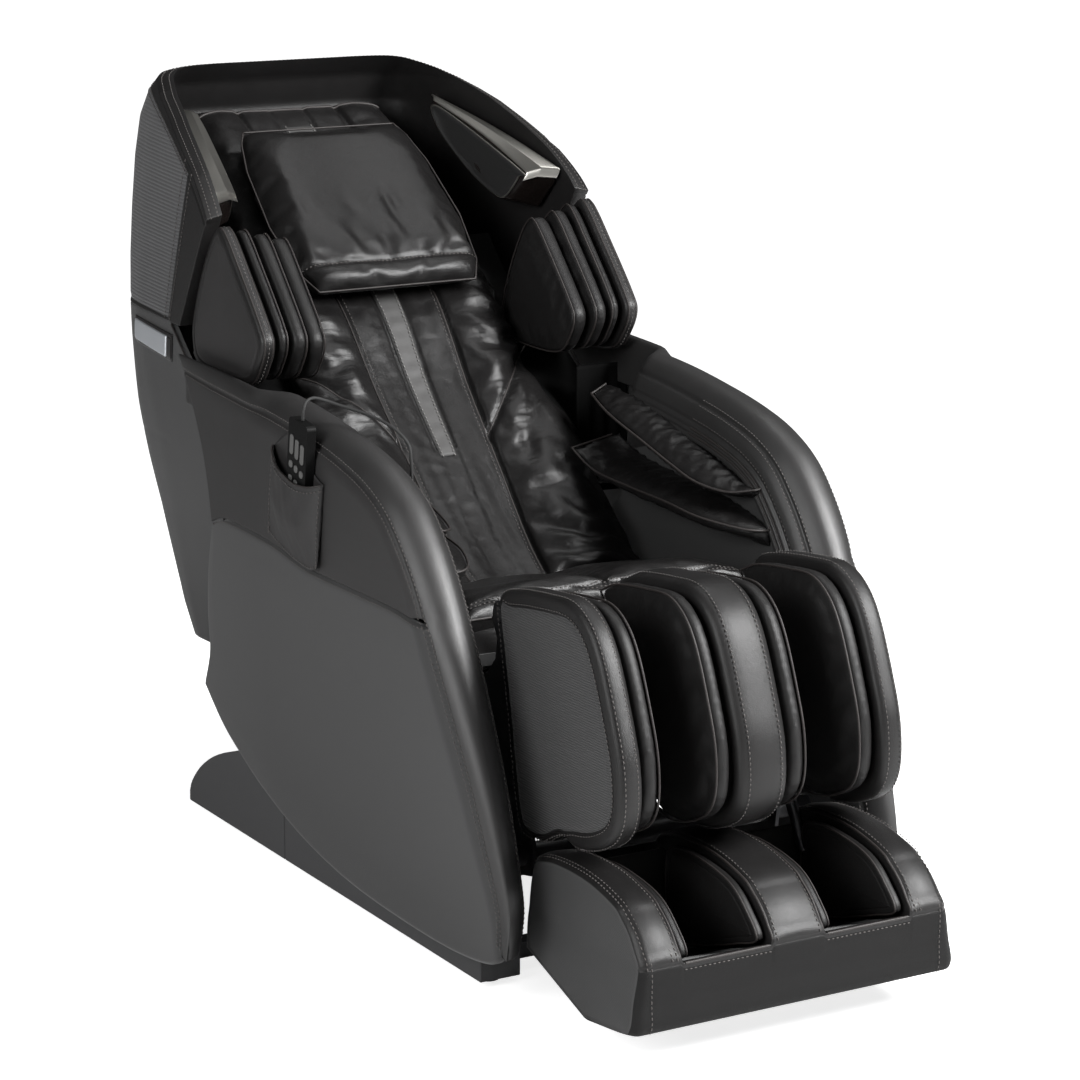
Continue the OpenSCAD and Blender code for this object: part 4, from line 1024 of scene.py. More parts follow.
PLAN_LINE = [[1, 0], [1, 0.25], [1, 0.5], [0.995, 0.72], [0.965, 0.9], [0.86, 0.98], [0.6, 1],
             [0.3, 1], [0, 1]]
REAR_Z = [322, 371, 446, 522, 600, 680, 759, 838, 914, 992, 1072, 1136, 1180, 1216]
REAR_Y = [501, 542, 586, 626, 662, 695, 717, 734, 758, 782, 805, 812, 792, 752]
BORDER = 30
BORDER_U = 0.05


def around(s, y0, y1, half, narrow):
    """A wall that runs back from one side, round the rear and forward to the other."""
    q = curve(PLAN_LINE, 1 - np.abs(s))
    return np.sign(s) * half * q[..., 0] * mix(1, narrow, q[..., 1]), mix(y0, y1, q[..., 1])


def hood_point(u, v, sink=0.0):
    """The hood's skin: u runs from its left front edge round the rear to the right, v up."""
    s = mix(-1, 1, u)
    c = curve(PLAN_LINE, 1 - np.abs(s))[..., 1]
    top = np.interp(c, [0, 0.034, 0.077, 0.14, 0.2, 0.28, 0.35, 0.46, 0.565, 0.675, 0.79, 0.9, 1],
                    [1026, 1043, 1060, 1082, 1098, 1117, 1133, 1155, 1171, 1185, 1197, 1206, HOOD_TOP])
    z = mix(HOOD_LOW, top, v)
    narrow = np.interp(z, [838, 914, 992, 1072, 1136, 1216], [0.922, 0.888, 0.843, 0.79, 0.747, 0.697])
    x, y = around(s, mix(434, 322, v), np.interp(z, REAR_Z, REAR_Y) - sink, HOOD_HALF - sink, narrow)
    drop = np.where(sink > 0, 0, 6) * v**8
    return xyz(x, y, z - drop)


def hood():
    """The hood, with bands along its edges round a ribbed middle."""
    one = np.concatenate([np.linspace(0, BORDER_U, 11), np.linspace(BORDER_U, 0.5, 80)[1:]])
    columns = np.concatenate([one, 1 - one[-2::-1]])
    rows = np.concatenate([[0, 0.01, 0.02], np.linspace(0.03, 0.94, 60), np.linspace(0.945, 1, 8)])

    def outer(u, v):
        p = hood_point(u, v)
        d = np.minimum(np.minimum(u, 1 - u) / BORDER_U * BORDER, 1e3)
        low, high = (v - 0.025) * 300, (0.942 - v) * 330
        groove = 1.8 * (bump(d, BORDER, 2.5) + bump(low, 0, 2.2) * (d > BORDER) + bump(high, 0, 2.2))
        return p - unit((p - [0, 560, 0]) * [1, 1, 0]) * groove[..., None]
    shell = wall("hood_cover", outer, lambda u, v: hood_point(u, v, HOOD_T), 0, 0, [BAND, RIBBED],
                 kind=lambda u, v: (np.minimum(u, 1 - u) > BORDER_U) & (v > 0.022) & (v < 0.942),
                 u=columns, v=rows)
    settle(bevelled(shell, 7, 4, 50), "back", "hood_shell")
    v, t = np.linspace(0.02, 0.99, 90), np.linspace(0.0, 1.0, 300)
    for d in (BORDER - 5, BORDER + 5):
        seam("back", "thread", follow(hood_point, 1 - BORDER_U * d / BORDER, v))
    for row in (0.93, 0.953):
        seam("back", "thread", follow(hood_point, mix(BORDER_U, 1 - BORDER_U, t), row), both=False)
    rim = [hood_point(t, 1 + 0 * t, sink) for sink in (0.0, HOOD_T)]
    for share in (0.28, 0.72):
        seam("back", "thread", mix(*rim, share) + [0, 0, 0.2], both=False)


def seam_y(z):
    """Front edge of the back shell's side."""
    return np.interp(z, [320, 400, 480, 553, 600, 640, 714, 784, 836],
                     [364, 340, 305, 264, 254, 262, 332, 420, 500])


def shell_inset(z):
    """How far the back shell lies inside the egg-shaped side."""
    return np.interp(z, [322, 400, 450, 600, 760, 838], [33, 33, 32, 27, 24, 20])


def shell_narrow(z):
    """How much narrower the back shell is at its rear."""
    return np.interp(z, [322, 371, 446, 522, 838], [1.025, 1.01, 0.985, 0.965, 0.955])


def side_at_seam(z):
    """Half width of the egg-shaped side along the back shell's front edge."""
    return side_x(np.stack([seam_y(z), z], -1))


def shell_half(z):
    """Half width of the back shell at its front edge."""
    return side_at_seam(z) - shell_inset(z)


def shell_point(u, v, sink=0.0):
    """The back shell's skin, with u and v as on the hood."""
    s = mix(-1, 1, u)
    low = mix(322, 432, smooth((0.985 - curve(PLAN_LINE, 1 - np.abs(s))[..., 0]) / 0.1))
    z = mix(low, HOOD_LOW - 2, v)
    x, y = around(s, seam_y(z), np.interp(z, REAR_Z, REAR_Y) - sink, shell_half(z) - sink, shell_narrow(z))
    return xyz(x, y, z)


def back_cover():
    """The cloth-covered shell behind the back, with grooves where its panels meet."""
    def outer(u, v):
        p = shell_point(u, v)
        groove = 1.6 * (bump(np.abs(p[..., 0]), 150, 2.5) + bump(p[..., 2], 640, 2.5)) * (p[..., 1] > 500)
        return p - unit((p - [0, 400, 0]) * [1, 1, 0]) * groove[..., None]
    shell = wall("back_cover", outer, lambda u, v: shell_point(u, v, SHELL_T), 200, 90, DOT_MESH)
    settle(bevelled(shell, 2.5, 2, 50), "back", "back_shell")
    seam("back", 1.8, follow(shell_point, 0.9995, np.linspace(0.01, 0.99, 120), 0.5))


def back_webs():
    """Cloth that closes the gap between the sides of the back cushion and the shell, near-black to paint the
    shade in that gap.
    """
    pad_y, pad_z = np.transpose(PAD_LINE)

    def web(u, v, sink=0.0):
        z = mix(570, 772, v)
        t = np.interp(z, pad_z, np.linspace(0, 1, len(pad_z)))
        far = side_at_seam(z) - 36
        slack = 7 * np.sin(pi * u) * (1 + 0.25 * np.sin(z * 0.11))
        y = mix(np.interp(z, pad_z, pad_y) + 46, seam_y(z) - 14, u) + slack + sink
        return xyz(mix(pad_half(t) - 16, far, u), y, z)
    pair(wall("back_web_right", web, WEB_T, 14, 40, SHADE), "back")


def arm_rear_webs():
    """Cloth across the rear of each arm's hollow, near-black to paint the shade inside the hollow."""
    def web(u, v, sink=0.0):
        fold = 3 * np.sin(u * 22) * np.sin(pi * u) * np.sin(pi * v)
        return xyz(mix(268, 364, u), 235 + fold + sink, mix(538, 749, v))
    pair(wall("arm_rear_web_right", web, WEB_T, 30, 30, SHADE), "seat")


PLATE_GAP = 0.3


def badges():
    """Bare metal plates on the sides of the back, each with a dark end cap and rim."""
    def side(y, z):
        f = np.clip((y - seam_y(z)) / (np.interp(z, REAR_Z, REAR_Y) - seam_y(z)), 0, 1)
        return shell_half(z) * np.interp(f, [0, 0.5, 0.72, 0.9], [1, 1, 0.995, 0.965]) \
            * mix(1, shell_narrow(z), f)

    for name, y_rear, y_front, low, high, lift, finish in (
            ("side_plate", 650, 506, (786, 777), (818, 811), 5.0, BADGE),
            ("side_plate_cap", 504, 488, (777, 776), (811, 809), 3.2, GLOSS),
            ("side_plate_rim", 655, 484, (781, 772), (823, 816), 2.4, GLOSS)):
        def skin(u, v, sink=lift):
            y = mix(y_rear, y_front, u)
            z = mix(mix(*low, u), mix(*high, u), v)
            return xyz(side(y, z) + sink, y, z)
        plate = wall(name + "_right", skin, PLATE_GAP, 24, 8, finish)
        pair(bevelled(plate, 1.6, 3, 40), "back")
        if name == "side_plate":
            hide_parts("side_badges")


POD_FACE = np.array([[217, 621, 1147], [262, 391, 1050], [262, 396, 1036], [254, 430, 998],
                     [248, 462, 998], [236, 540, 1036], [216, 622, 1108]], float)
POD_FOOT = np.array([[231, 655, 1152], [307, 362, 1053], [308, 368, 1030], [302, 412, 984],
                     [296, 456, 982], [280, 545, 1018], [250, 640, 1094]], float)


def speakers():
    """Gloss housings inside the hood, each with a dark grille and a ridged bright strip on top."""
    softened("speaker_pods", "speaker_housings", "back", POD_BLACK, 5.0, 5, 20)
    along = unit(POD_FACE[1] - POD_FACE[0])
    up = unit(np.cross(POD_FOOT[0] - POD_FACE[0], along))
    up = up * np.sign(up[2])

    def skin(u, v, sink=0.0):
        run, bend = np.clip(u / 0.86, 0, 1), np.clip((u - 0.86) / 0.14, 0, 1)
        inner = mix(POD_FACE[0], POD_FACE[1], run[..., None])
        outer = mix(POD_FOOT[0], POD_FOOT[1], run[..., None])
        rise = np.interp(v, [0, 0.38, 1], [0.5, 7.0, 2.5]) * mix(0.45, 1, run) + 5 * np.sin(pi * run)
        turn = bend * pi / 2
        drop = 7 * (1 - np.cos(turn)) + 9 * np.clip(bend * 2 - 1, 0, 1)
        p = mix(inner, outer, v[..., None]) + up * (rise - sink - drop)[..., None]
        return p + along * (7 * np.sin(turn) - sink * bend)[..., None]
    v = np.array([0, 0.08, 0.2, 0.3, 0.365, 0.38, 0.395, 0.5, 0.65, 0.8, 0.93, 1])
    u = np.concatenate([np.linspace(0, 0.86, 36), np.linspace(0.86, 1, 12)[1:]])
    strip = wall("speaker_strip_right", skin, 2.2, 0, 0, CHROME, u=u, v=v)
    pair(bevelled(strip, 0.6, 2, 14), "back")
    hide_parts("speaker_trims")

    centre = POD_FACE.mean(0)
    flat = unit(np.cross(POD_FACE[1] - centre, POD_FACE[4] - centre))
    flat = flat * -np.sign(flat[0])
    rim = loop(mix(POD_FACE, centre, 0.10), 84)
    rings = [mix(rim, centre, k) + flat * lift for k, lift in (
        (0, 0.4), (0, 2.2), (0.03, 2.8), (0.06, 1.2), (0.3, 1.4), (0.6, 1.4), (0.9, 1.4))]
    pair(ringed("speaker_grille_right", rings, [CHROME, GRILLE],
                kinds=[0] * (2 * len(rim)) + [1] * (4 * len(rim) + 2)), "back")


# ------------------------------------------------------------------ back pad, pillow and seat


def pad_half(v):
    """Half width of the back cushion, for v up its front."""
    return np.interp(v, [0, 0.25, 0.38, 0.45, 0.7, 0.85, 1],
                     [PAD_HALF - 8, PAD_HALF, 250, 213, 210, 200, 180])


def pad_seam(v):
    """Distance from the middle to the V-shaped seams beside the channel."""
    return np.interp(v, [0, 0.15, 0.5, 0.8, 1], [62, 68, 84, 94, 90])


def diagonal_across(v):
    """Distance from the middle to the seam that crosses each bolster."""
    return pad_seam(v) + (v - 0.35) * 960


def ribbon_half(v):
    """Half width of the grey ribbon."""
    return np.interp(v, [0, 0.3, 0.75, 1], [9, 13, 25, 28])


BACK_OUT = np.array([0, -sin(BACK_TILT), cos(BACK_TILT)])


def back_pad():
    """The back cushion: two padded bolsters with folds, beside a flat channel."""
    def front(u, v):
        x = mix(-1, 1, u)
        half, seam_x = pad_half(v), pad_seam(v)
        e = 1 - np.abs(2 * v - 1) ** 12
        across = np.abs(x) * half
        bolster = np.clip((across - seam_x) / np.maximum(half - seam_x, 20), 0, 1)
        lift = 24 * np.sin(pi * bolster**0.75) ** 0.8 * np.clip((0.66 - v) / 0.2, 0.25, 1) - 16 * bolster**6
        lift = lift - 6 * bump(across, 0, 40) - 5
        q = curve(PAD_LINE, v) + left_of(PAD_LINE, v) * (lift * e - 22 * (1 - e))[..., None]
        return at(x * (half - 4), q)

    def rear(u, v):
        d = np.interp(v, [0, 0.2, 0.3, 0.85, 1], [40, 60, 66, 62, 36])
        q = curve(PAD_LINE, v) - left_of(PAD_LINE, v) * d[..., None]
        return at(mix(-1, 1, u) * (pad_half(v) - 12), q)
    pad = wall("back_cushion", front, rear, 60, 90, PAD)
    line_v = np.linspace(0, 1, 400)
    line_p = curve(PAD_LINE, line_v)

    def nearest(p):
        return np.argmin(((p[:, None, 1:] - line_p[None]) ** 2).sum(2), axis=1)

    def pins(p):
        near = nearest(p)
        v, across = line_v[near], np.abs(p[:, 0])
        held = bump(across, pad_seam(v), 7) + (across < pad_seam(v) - 8) * 0.3
        diagonal = bump(across, diagonal_across(v), 7) * (v > 0.34) * (v < 0.5)
        deep = np.sum((p[:, 1:] - line_p[near]) * left_of(PAD_LINE, v), 1) < -34
        return np.clip(np.where(deep, 1, held + diagonal), 0, 1)
    inflated(pad, 7.0, 5.0, 16, 0.02, pins, calm=7)

    def folds(p, n):
        v, across = line_v[nearest(p)], np.abs(p[:, 0])
        facing = np.clip(n @ BACK_OUT * 2 - 0.4, 0, 1)
        s = pad_seam(v)
        groove = 5.5 * bump(across, s, 4.5) + 2.0 * bump(across, ribbon_half(v) + 3, 2.5) * (v > 0.34)
        cut = 4.5 * bump(across, diagonal_across(v), 8) * (across > s - 3) * (v > 0.34) * (v < 0.5)
        side = np.clip((across - s - 10) / 30, 0, 1)
        wave = np.sin(v * 95 + across * 0.028 * np.sin(v * 9 + 1) + wander(p[:, 0] / 160, v * 6, seed=1) * 3)
        rumple = (3.4 * wave + 2.6 * wander(p[:, 0] / 120, v * 9, seed=4)) * side * (v < 0.62)
        inner = (across < s) * 2.0 * wander(p[:, 0] / 50, v * 3, seed=9) * (across > ribbon_half(v) + 6)
        return p + n * (facing * (rumple + inner - groove - cut))[:, None]
    settle(sculpted(pad, folds), "back", "back_pad")
    pad_details(pad)


def on_piece(piece, points, away, lift=0.5):
    """Points dropped onto a piece's surface from the direction away, in millimetres."""
    found = []
    direction = Vector(tuple(away)).normalized()
    for p in np.asarray(points) * MM:
        hit, place, normal, _ = piece.ray_cast(Vector(p) + direction * 0.15, -direction)
        found.append(np.array(place) / MM + np.array(normal) * lift if hit else p / MM)
    return np.array(found)


def pad_details(pad):
    """The grey ribbon down the middle and the rows of stitches and cord beside it."""
    def on_pad(x, v, lift):
        return on_piece(pad, at(x, curve(PAD_LINE, v)), BACK_OUT, lift)
    v = np.linspace(0.33, 0.93, 120)
    ridge = 1 - np.linspace(-1, 1, 9) ** 2
    top = np.stack([on_pad(k * ribbon_half(v), v, 0.9 + 1.2 * (1 - k * k)) for k in np.linspace(-1, 1, 9)], 1)
    top = top + BACK_OUT * (0.5 * np.sin(v * 260)[:, None] * ridge)[..., None]
    closed("back_ribbon", top, top - BACK_OUT * 2.5, RIBBON, "back")
    w, d = np.linspace(0.06, 0.9, 160), np.linspace(0.352, 0.48, 50)
    for side in (-1, 1):
        for kind, x, run, lift in (("pale", ribbon_half(v) - 3.5, v, 2.4), (1.7, pad_seam(w), w, -0.4),
                                   ("thread", pad_seam(w) - 7, w, 0.3), (1.4, diagonal_across(d), d, -0.3)):
            seam("back", kind, on_pad(side * x, run, lift), both=False)
    x = np.linspace(-168, 168, 60)
    sag = curve(PAD_LINE, 0.985 + np.interp(np.abs(x), [0, 120, 168], [0, -3, -14]) / 900)
    seam("back", 2.6, on_piece(pad, at(x, sag), (0, -0.4, 1), 0.6), both=False)


PILLOW_LOW, PILLOW_TOP = np.array([346, 880]), np.array([626, 1106])
PILLOW_FOLD = 0.125


def pillow():
    """The head pillow, hung from its top edge, with a stitched roll along its foot."""
    out = unit(np.array([0, -226, 280]))
    run = PILLOW_TOP - PILLOW_LOW

    def spot(x, y):
        w = np.interp(y, [0, 0.12, 0.4, 0.75, 0.92, 1], [142, 163, 175, 167, 153, 139])
        p = mix(PILLOW_LOW, PILLOW_TOP, y[..., None])
        return at(x * w, p)

    def edge(x, y):
        return np.clip((1 - np.abs(x) ** 7) * (1 - np.abs(2 * y - 1) ** 7), 0, 1)

    def front(u, v):
        x = mix(-1, 1, u)
        e = edge(x, v)
        roll = 9 * bump(v, 0.06, 0.05) * (1 - np.abs(x) ** 8)
        swell = 3 + 28 * e**0.5 - 6 * bump(x, 0, 0.5) * e + roll
        return spot(x, v) + out * swell[..., None]

    def rear(u, v):
        x = mix(-1, 1, u)
        return spot(x, v) - out * (2 + 2 * edge(x, v))[..., None]
    piece = wall("head_cushion", front, rear, 50, 50, PAD)

    def height(p):
        return (p[:, 1:] - PILLOW_LOW) @ unit(run) / np.linalg.norm(run)

    def pins(p):
        y = height(p)
        lift = (p - at(0, PILLOW_LOW + run * y[:, None])) @ out
        return np.where(lift < 3, 1.0, bump(y, 0.12, 0.012))
    inflated(piece, 5.0, 4.0, 10, 0.015, pins, calm=8)

    def creases(p, n):
        y = height(p)
        facing = np.clip(n @ out * 2 - 0.5, 0, 1)
        hang = 1.5 * np.sin(p[:, 0] * 0.085 + wander(p[:, 0] / 130, y * 2, seed=6) * 3.5)
        fade = np.clip((0.62 - y) / 0.4, 0, 1) * (y > 0.12)
        dent = 3.2 * bump(p[:, 0] - 12, 26, 9) * bump(y, 0.42, 0.09)
        return p + n * (facing * (hang * fade - dent - 3.5 * bump(y, PILLOW_FOLD, 0.016)))[:, None]
    settle(sculpted(piece, creases), "pillow", "head_pillow")
    t = np.linspace(0, 1, 60)
    ring = [(mix(-1, 1, t), 0 * t + 1), (0 * t + 1, 1 - t), (mix(1, -1, t), 0 * t), (0 * t - 1, t)]
    rim = np.concatenate([spot(x * 0.985, y * 0.99 + 0.005) for x, y in ring]) + out * 9
    seam("pillow", 1.6, np.concatenate([rim, rim[:1]]), both=False)
    across = at(np.linspace(-160, 160, 80), PILLOW_LOW + run * PILLOW_FOLD)
    seam("pillow", "thread", on_piece(piece, across, out, 0.3), both=False)


def seat_top(y):
    """Height of the seat, which falls to the rear."""
    return 487 + (-47 - y) * 0.23


def seat_cushion():
    """The seat cushion, crowned, with a seam down its middle and folds that fan from its front."""
    def plan(u, v, k):
        x, y = mix(-1, 1, u), mix(-1, 1, v)
        pull = 1 - 0.035 * (1 - x**2) * np.abs(y) ** 6
        side = 1 - 0.03 * (1 - y**2) * np.abs(x) ** 6
        return x * (SEAT_HALF - 4 - k) * side, -188 + y * (132 - k) * pull

    def edge(u, v):
        x, y = mix(-1, 1, u), mix(-1, 1, v)
        return np.clip((1 - np.abs(x) ** 10) * (1 - np.abs(y) ** 8), 0, 1)

    def top(u, v):
        x, y = plan(u, v, 0)
        e = edge(u, v)
        z = seat_top(y) - 34 + 28 * e**0.45 + 8 * (1 - mix(-1, 1, u) ** 2) * e
        return xyz(x, y, z)

    def under(u, v):
        x, y = plan(u, v, 7)
        return xyz(x, y, seat_top(y) - 50 - 28 * edge(u, v) ** 0.3)
    piece = wall("seat_cover", top, under, 60, 40, PAD)

    def pins(p):
        return np.where(p[:, 2] < seat_top(p[:, 1]) - 40, 1.0, bump(np.abs(p[:, 0]), 0, 4))
    inflated(piece, 6.0, 4.0, 12, 0.02, pins, calm=7)

    def folds(p, n):
        up = np.clip(n[:, 2] * 2 - 0.6, 0, 1)
        rays = 1.6 * np.sin(np.arctan2(p[:, 1] + 320, np.abs(p[:, 0]) + 30) * 14
                            + wander(p[:, 0] / 200, p[:, 1] / 200, seed=2) * 3)
        front = 3.0 * bump(p[:, 1], -300, 4)
        return p + n * (up * (rays * 0.6 - 4 * bump(p[:, 0], 0, 4)) - front * up)[:, None]
    settle(sculpted(piece, folds), "seat", "seat_cushion")
    x = np.linspace(-SEAT_HALF + 12, SEAT_HALF - 12, 120)
    for y in (-304, -296):
        seam("seat", "thread", on_piece(piece, xyz(x, y, 560), UP, 0.3), both=False)
    front_line = xyz(x, -318, seat_top(-318) - 34)
    seam("seat", 2.0, on_piece(piece, front_line, (0, -1, 0), 0.2), both=False)


def seat_apron():
    """A gathered skirt that hangs from the front of the seat cushion."""
    def face(u, v, sink=0.0):
        x = mix(-236, 236, u)
        wave = 3.0 * np.sin(x * 0.075 + wander(x / 150, v, seed=5) * 2) * (0.25 + v)
        y = -306 - 10 * np.sin(pi * v * 0.6) + wave + sink
        return xyz(x, y, mix(520, 432, v) + 1.5 * wave)
    settle(wall("seat_apron", face, 2.4, 120, 18, PAD), "seat")


# ------------------------------------------------------------------ foot unit

WELL_IN, WELL_OUT = 46, 185
WELL_WALL = 7
SOLE_T = 0.285
FOOT_HEART = np.array([-650, 120])


def foot_half(z):
    """Half width of the foot unit, which narrows upwards."""
    return np.interp(z, [12, 60, 150, 240], [268, 266, 252, 246])


def foot_profile(t):
    """The side outline from the front floor edge, up and back over the top, to the rear."""
    return curve([[-690, 36], [-790, 50], [-812, 62], [-812, 100], [-812, 148], [-800, 168], [-782, 190],
                  [-760, 207], [-735, 221], [-670, 235], [-600, 237], [-540, 229], [-510, 210],
                  [-503, 140], [-512, 90]], t)


def well_profile(t):
    """The same run with the top let down to the sole, for the wells."""
    return curve([[-690, 36], [-790, 50], [-812, 62], [-812, 100], [-812, 142], [-806, 146], [-780, 137],
                  [-745, 122], [-700, 108], [-650, 92], [-612, 86], [-575, 100], [-560, 150],
                  [-535, 206], [-512, 90]], t)


def foot_out(p):
    """Unit direction of points [y, z] away from the middle of the foot unit's side."""
    return unit(p - FOOT_HEART)


def foot_unit():
    """The upholstered block: arches on both sides of two sunken wells."""
    half = np.concatenate([np.linspace(0, 40, 12), np.linspace(WELL_IN - WELL_WALL, WELL_IN + 1, 9)[1:],
                           np.linspace(52, 178, 16), np.linspace(WELL_OUT - 1, WELL_OUT + WELL_WALL, 9),
                           np.linspace(198, 232, 10), np.linspace(236, 250, 10)])
    xx, tt = np.meshgrid(np.concatenate([-half[:0:-1], half]), np.linspace(0, 1, 190), indexing="ij")
    a = np.abs(xx)
    inside = smooth((a - (WELL_IN - WELL_WALL)) / WELL_WALL) \
        * smooth(((WELL_OUT + WELL_WALL) - a) / WELL_WALL)
    p = mix(foot_profile(tt), well_profile(tt), inside[..., None])
    x = np.where(a > 190, np.sign(xx) * mix(190, foot_half(p[..., 1]), (a - 190) / 60), xx)
    edge_roll = 9 * np.clip((a - 236) / 14, 0, 1) ** 2.5
    p = p - foot_out(p) * edge_roll[..., None]
    crown = 3.5 * (1 - (np.clip(a / 38, 0, 1)) ** 2) * (a < 40) \
        + 3.5 * np.sin(pi * np.clip((a - 193) / 50, 0, 1))
    p = p + foot_out(p) * (crown * smooth((p[..., 1] - 145) / 30))[..., None]
    p = p - foot_out(p) * (2.0 * bump(tt, SOLE_T, 0.003) * (1 - inside))[..., None]
    n, m = tt.shape
    flat = at(x, p).reshape(-1, 3)
    faces = grid_faces(n - 1, m - 1).tolist()
    middle, tb = (a[1:, 1:] + a[:-1, 1:]) / 2, tt[1:, 1:]
    in_well = (middle > WELL_IN - 1) & (middle < WELL_OUT + 1) & (tb > 0.36)
    kinds = np.where(in_well, 2, np.where(tb < SOLE_T, 1, 0)).ravel().tolist()
    for first, side in ((0, -1), ((n - 1) * m, 1)):
        index, ring = np.arange(first, first + m), flat[first:first + m]
        for k in (0.02, 0.06, 0.12, 0.3, 0.55, 0.8, 0.97):
            q = ring.copy()
            q[:, 1:] = mix(ring[:, 1:], np.array([-660, 130]), k)
            q[:, 0] = side * (foot_half(q[:, 2]) + 3 * (1 - (1 - k) ** 2) - 1)
            new = np.arange(len(flat), len(flat) + m)
            flat = np.concatenate([flat, q])
            faces += np.stack([index, np.roll(index, -1), np.roll(new, -1), new], 1).tolist()
            index = new
        faces.append(index.tolist())
    floor_line = np.arange(n) * m
    rear_line = floor_line + m - 1
    faces += np.stack([floor_line[:-1], floor_line[1:], rear_line[1:], rear_line[:-1]], 1).tolist()
    kinds += [3] * (len(faces) - len(kinds))
    piece = tidy(make("foot_block", flat, faces, [BAND, FRONT, INNER, DOT_MESH], kinds=kinds), 0.05)
    settle(piece, "foot_unit", "foot_casing")

    def over(x, t0, t1, lift):
        p = foot_profile(np.linspace(t0, t1, 90))
        return at(x, p + foot_out(p) * lift)
    for x in (WELL_IN - WELL_WALL - 4, WELL_OUT + WELL_WALL + 4, WELL_OUT + WELL_WALL + 12):
        seam("foot_unit", "thread", over(x, 0.3, 0.86, 1.2))
    for x in (WELL_IN - 5, WELL_OUT + 5):
        seam("foot_unit", 2.0, over(x, 0.3, 0.86, -2.5))
    seam("foot_unit", "thread", over(237, 0.12, 0.86, 0.3), over(243, 0.12, 0.86, -1.2))
    lip = np.linspace(WELL_IN + 2, WELL_OUT - 2, 40)
    seam("foot_unit", 2.4, xyz(lip, -810, 146))
    seam("foot_unit", "thread", xyz(lip, -812.6, 138))


def well_pads():
    """Padded inner walls of the foot wells."""
    arch = np.array([[-796, 152], [-770, 186], [-730, 213], [-670, 225], [-600, 226], [-566, 205],
                     [-570, 110], [-612, 92], [-650, 98], [-700, 114], [-750, 132]])
    outline = loop(arch, 90)
    for label, x0, seam_x in (("inner", WELL_IN + 1, WELL_IN + 13), ("outer", WELL_OUT - 14, WELL_OUT - 13)):
        pad = slab(f"foot_well_pad_{label}_right", outline, x0, x0 + 13, 6, 9, 2.0, [INNER] * 3)
        pair(pad, "foot_unit")
        seam("foot_unit", 1.5, slab_seam(outline, seam_x, 1.0, 0.4))


# ------------------------------------------------------------------ pouch and handset


def pouch():
    """Leather pocket on the outside of the arm, standing off it at its mouth."""
    mouth = [[22, 726], [-10, 704], [-60, 690], [-104, 687], [-134, 693]]
    foot = [[50, 588], [-6, 570], [-50, 561], [-90, 558], [-110, 566]]

    def front(u, v, sink=0.0):
        p = mix(curve(foot, u), curve(mouth, u), v[..., None])
        belly = np.sin(pi * np.clip(u, 0, 1)) ** 0.6
        out = 3 + 19 * belly * smooth(v * 1.6 + 0.12)
        fold = 1.2 * wander(p[..., 0] / 60, p[..., 1] / 90, seed=8)
        return at(-HALF_W - out - fold * belly + sink, p)
    piece = wall("pouch_front", front, 2.4, 60, 60, SIDE)
    settle(bevelled(piece, 0.8, 2, 40), "seat", "remote_pouch")

    def sheet(u, v, sink=0.0):
        top = curve([[46, 690], [22, 726], [-20, 752], [-46, 768], [-60, 742], [-90, 712], [-134, 693]], u)
        low = curve([[62, 600], [50, 588], [-6, 570], [-50, 561], [-90, 558], [-104, 562], [-110, 566]], u)
        p = mix(low, top, v[..., None])
        return at(-HALF_W - 1.2 + sink + 0 * v, p)
    wall("pouch_back", lambda u, v: sheet(u, v, -1.6), sheet, 40, 30, SIDE, "seat")
    t = np.linspace(0.01, 0.99, 60)
    one = np.ones_like(t)
    seam("seat", 1.4, front(t, one) - [0.8, 0, 0], both=False)
    for u, v in ((t, 0.93 * one), (0.02 * one, t), (0.98 * one, t), (t, 0.03 * one)):
        seam("seat", "thread", front(u, v) - [1.0, 0, 0], both=False)


def hard_parts():
    """CAD solids that only need rounded edges: the handset, its keys and the base's covers."""
    softened("handset", "handset_case", "remote", CASE, 2.2, 4, 35)
    # the keys take a pale grey that paints their small glints
    for node in [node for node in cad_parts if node.startswith("key_")]:
        softened(node, node + "_cap", node.replace("key_", "button_"), KEYS_GLINT, 0.6, 2, 35)
    for node, width, segments in (("rail_covers", 5.0, 4), ("rear_covers", 5.0, 4), ("power_box", 1.5, 3)):
        softened(node, node + "_moulded", "base", BASE, width, segments, 30)


def mechanism():
    """Gives the CAD nodes that stay their finish."""
    for finish, nodes in (
            (FRAME, "base_frame seat_plates seat_tubes leg_frame back_rails roller_carriage"),
            (RUBBER, "base_feet transport_wheel_left transport_wheel_right"),
            (GLOSS, "power_switch"), (NYLON, "rollers_upper rollers_lower sole_rollers"),
            (STEEL, "foot_slides"),
            (LINING, "seat_pan calf_back foot_pads back_liner arm_liner_left arm_liner_right")):
        for node in nodes.split():
            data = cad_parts[node].data
            data.materials.clear()
            data.materials.append(finish)


for build in (arms, side_panels, calf_slabs, calf_fins, shoulder_wings, arm_airbags, hood, back_cover,
              back_webs, arm_rear_webs, badges, speakers, back_pad, pillow, seat_cushion, seat_apron,
              foot_unit, well_pads, pouch, hard_parts, mechanism, sew):
    build()

# ------------------------------------------------------------------ floor and light


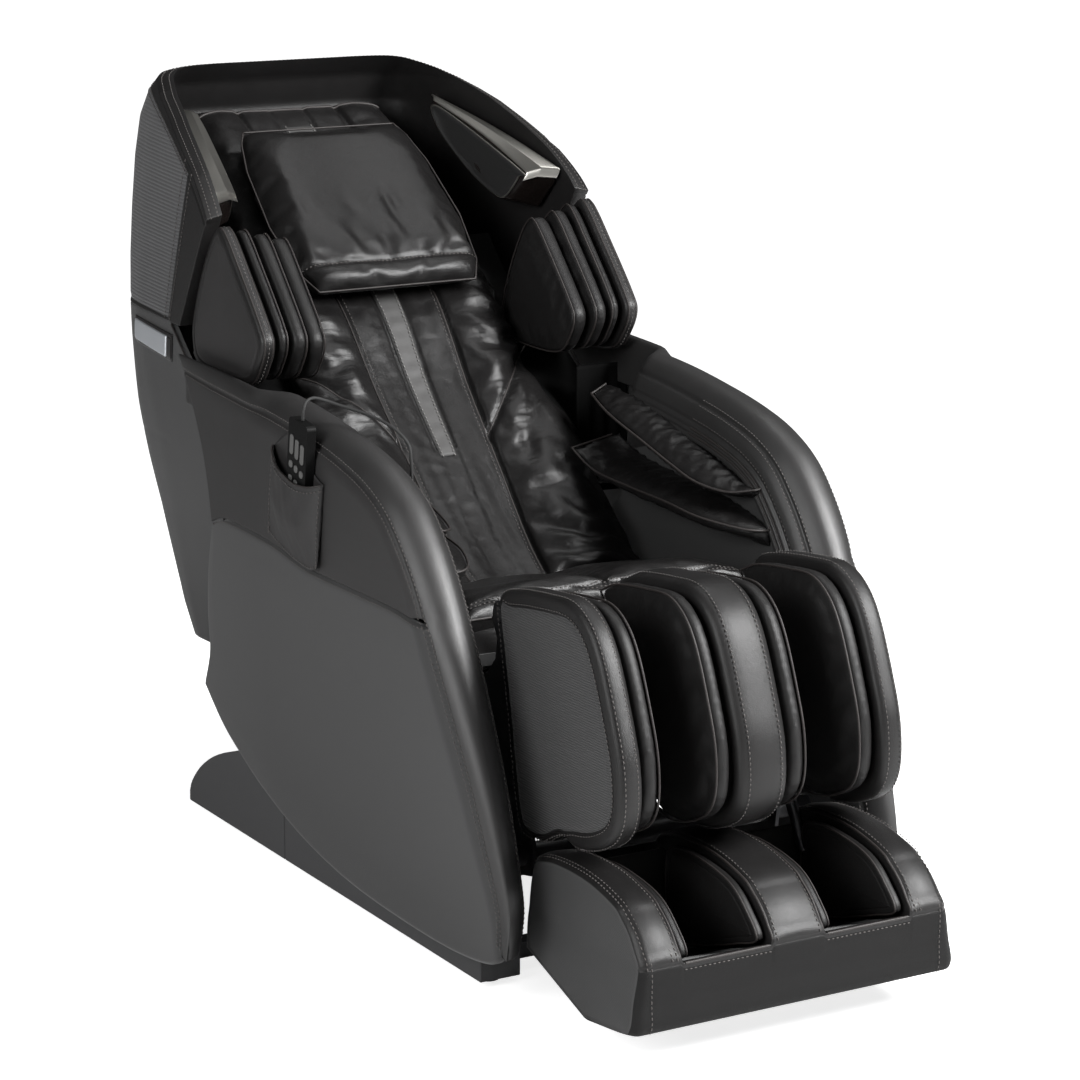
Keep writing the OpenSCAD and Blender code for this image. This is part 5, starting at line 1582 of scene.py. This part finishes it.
def studio():
    """A white floor that keeps the shadow, and soft lamps."""
    size = 30
    mesh = bpy.data.meshes.new("floor")
    mesh.from_pydata([(-size, -size, 0), (size, -size, 0), (size, size, 0), (-size, size, 0)], [],
                     [(0, 1, 2, 3)])
    add("floor", mesh)
    s = Shop("floor_white")
    s.surface((0.8, 0.8, 0.8), 0.9)
    glow, joined = (s.tree.nodes.new("ShaderNode" + kind) for kind in ("Emission", "AddShader"))
    seen = s.node("LightPath", {}, output="Is Camera Ray")
    x, y, z = s.axes()
    far = ((x * x + y * y) ** 0.5).above(1.6, 9.0)
    s.plug(glow.inputs["Strength"], seen * (far * 0.25 + 0.8))
    link = s.tree.links.new
    link(s.bsdf.outputs[0], joined.inputs[0])
    link(glow.outputs[0], joined.inputs[1])
    link(joined.outputs[0], s.out.inputs[0])
    mesh.materials.append(s.material)

    world = bpy.data.worlds.new("studio")
    scene.world = world
    world.use_nodes = True
    world.node_tree.nodes.clear()
    path, lit, shown, mixer, out = (world.node_tree.nodes.new("ShaderNode" + kind) for kind in (
        "LightPath", "Background", "Background", "MixShader", "OutputWorld"))
    for background, strength in ((lit, 0.075), (shown, 1.0)):
        background.inputs["Color"].default_value = (1, 1, 1, 1)
        background.inputs["Strength"].default_value = strength
    link = world.node_tree.links.new
    link(path.outputs["Is Camera Ray"], mixer.inputs[0])
    link(lit.outputs[0], mixer.inputs[1])
    link(shown.outputs[0], mixer.inputs[2])
    link(mixer.outputs[0], out.inputs[0])

    for name, place, aim, size, power in (
            ("left_box", (-3.8, -1.4, 2.2), (0, 0, 0.6), (2.4, 2.0), 120),
            ("front_box", (2.25, -3.0, 3.05), (0, -0.4, 0.6), (1.1, 2.0), 420),
            ("top_box", (0.9, 0.3, 3.6), (0, 0.1, 0.7), (1.6, 1.2), 20)):
        light = bpy.data.lights.new(name, "AREA")
        light.shape = "RECTANGLE"
        light.size, light.size_y = size
        light.energy = power
        lamp = add(name, light)
        lamp.location = place
        lamp.rotation_euler = (Vector(aim) - Vector(place)).to_track_quat("-Z", "Y").to_euler()
    scene.view_settings.view_transform = "Standard"


studio()
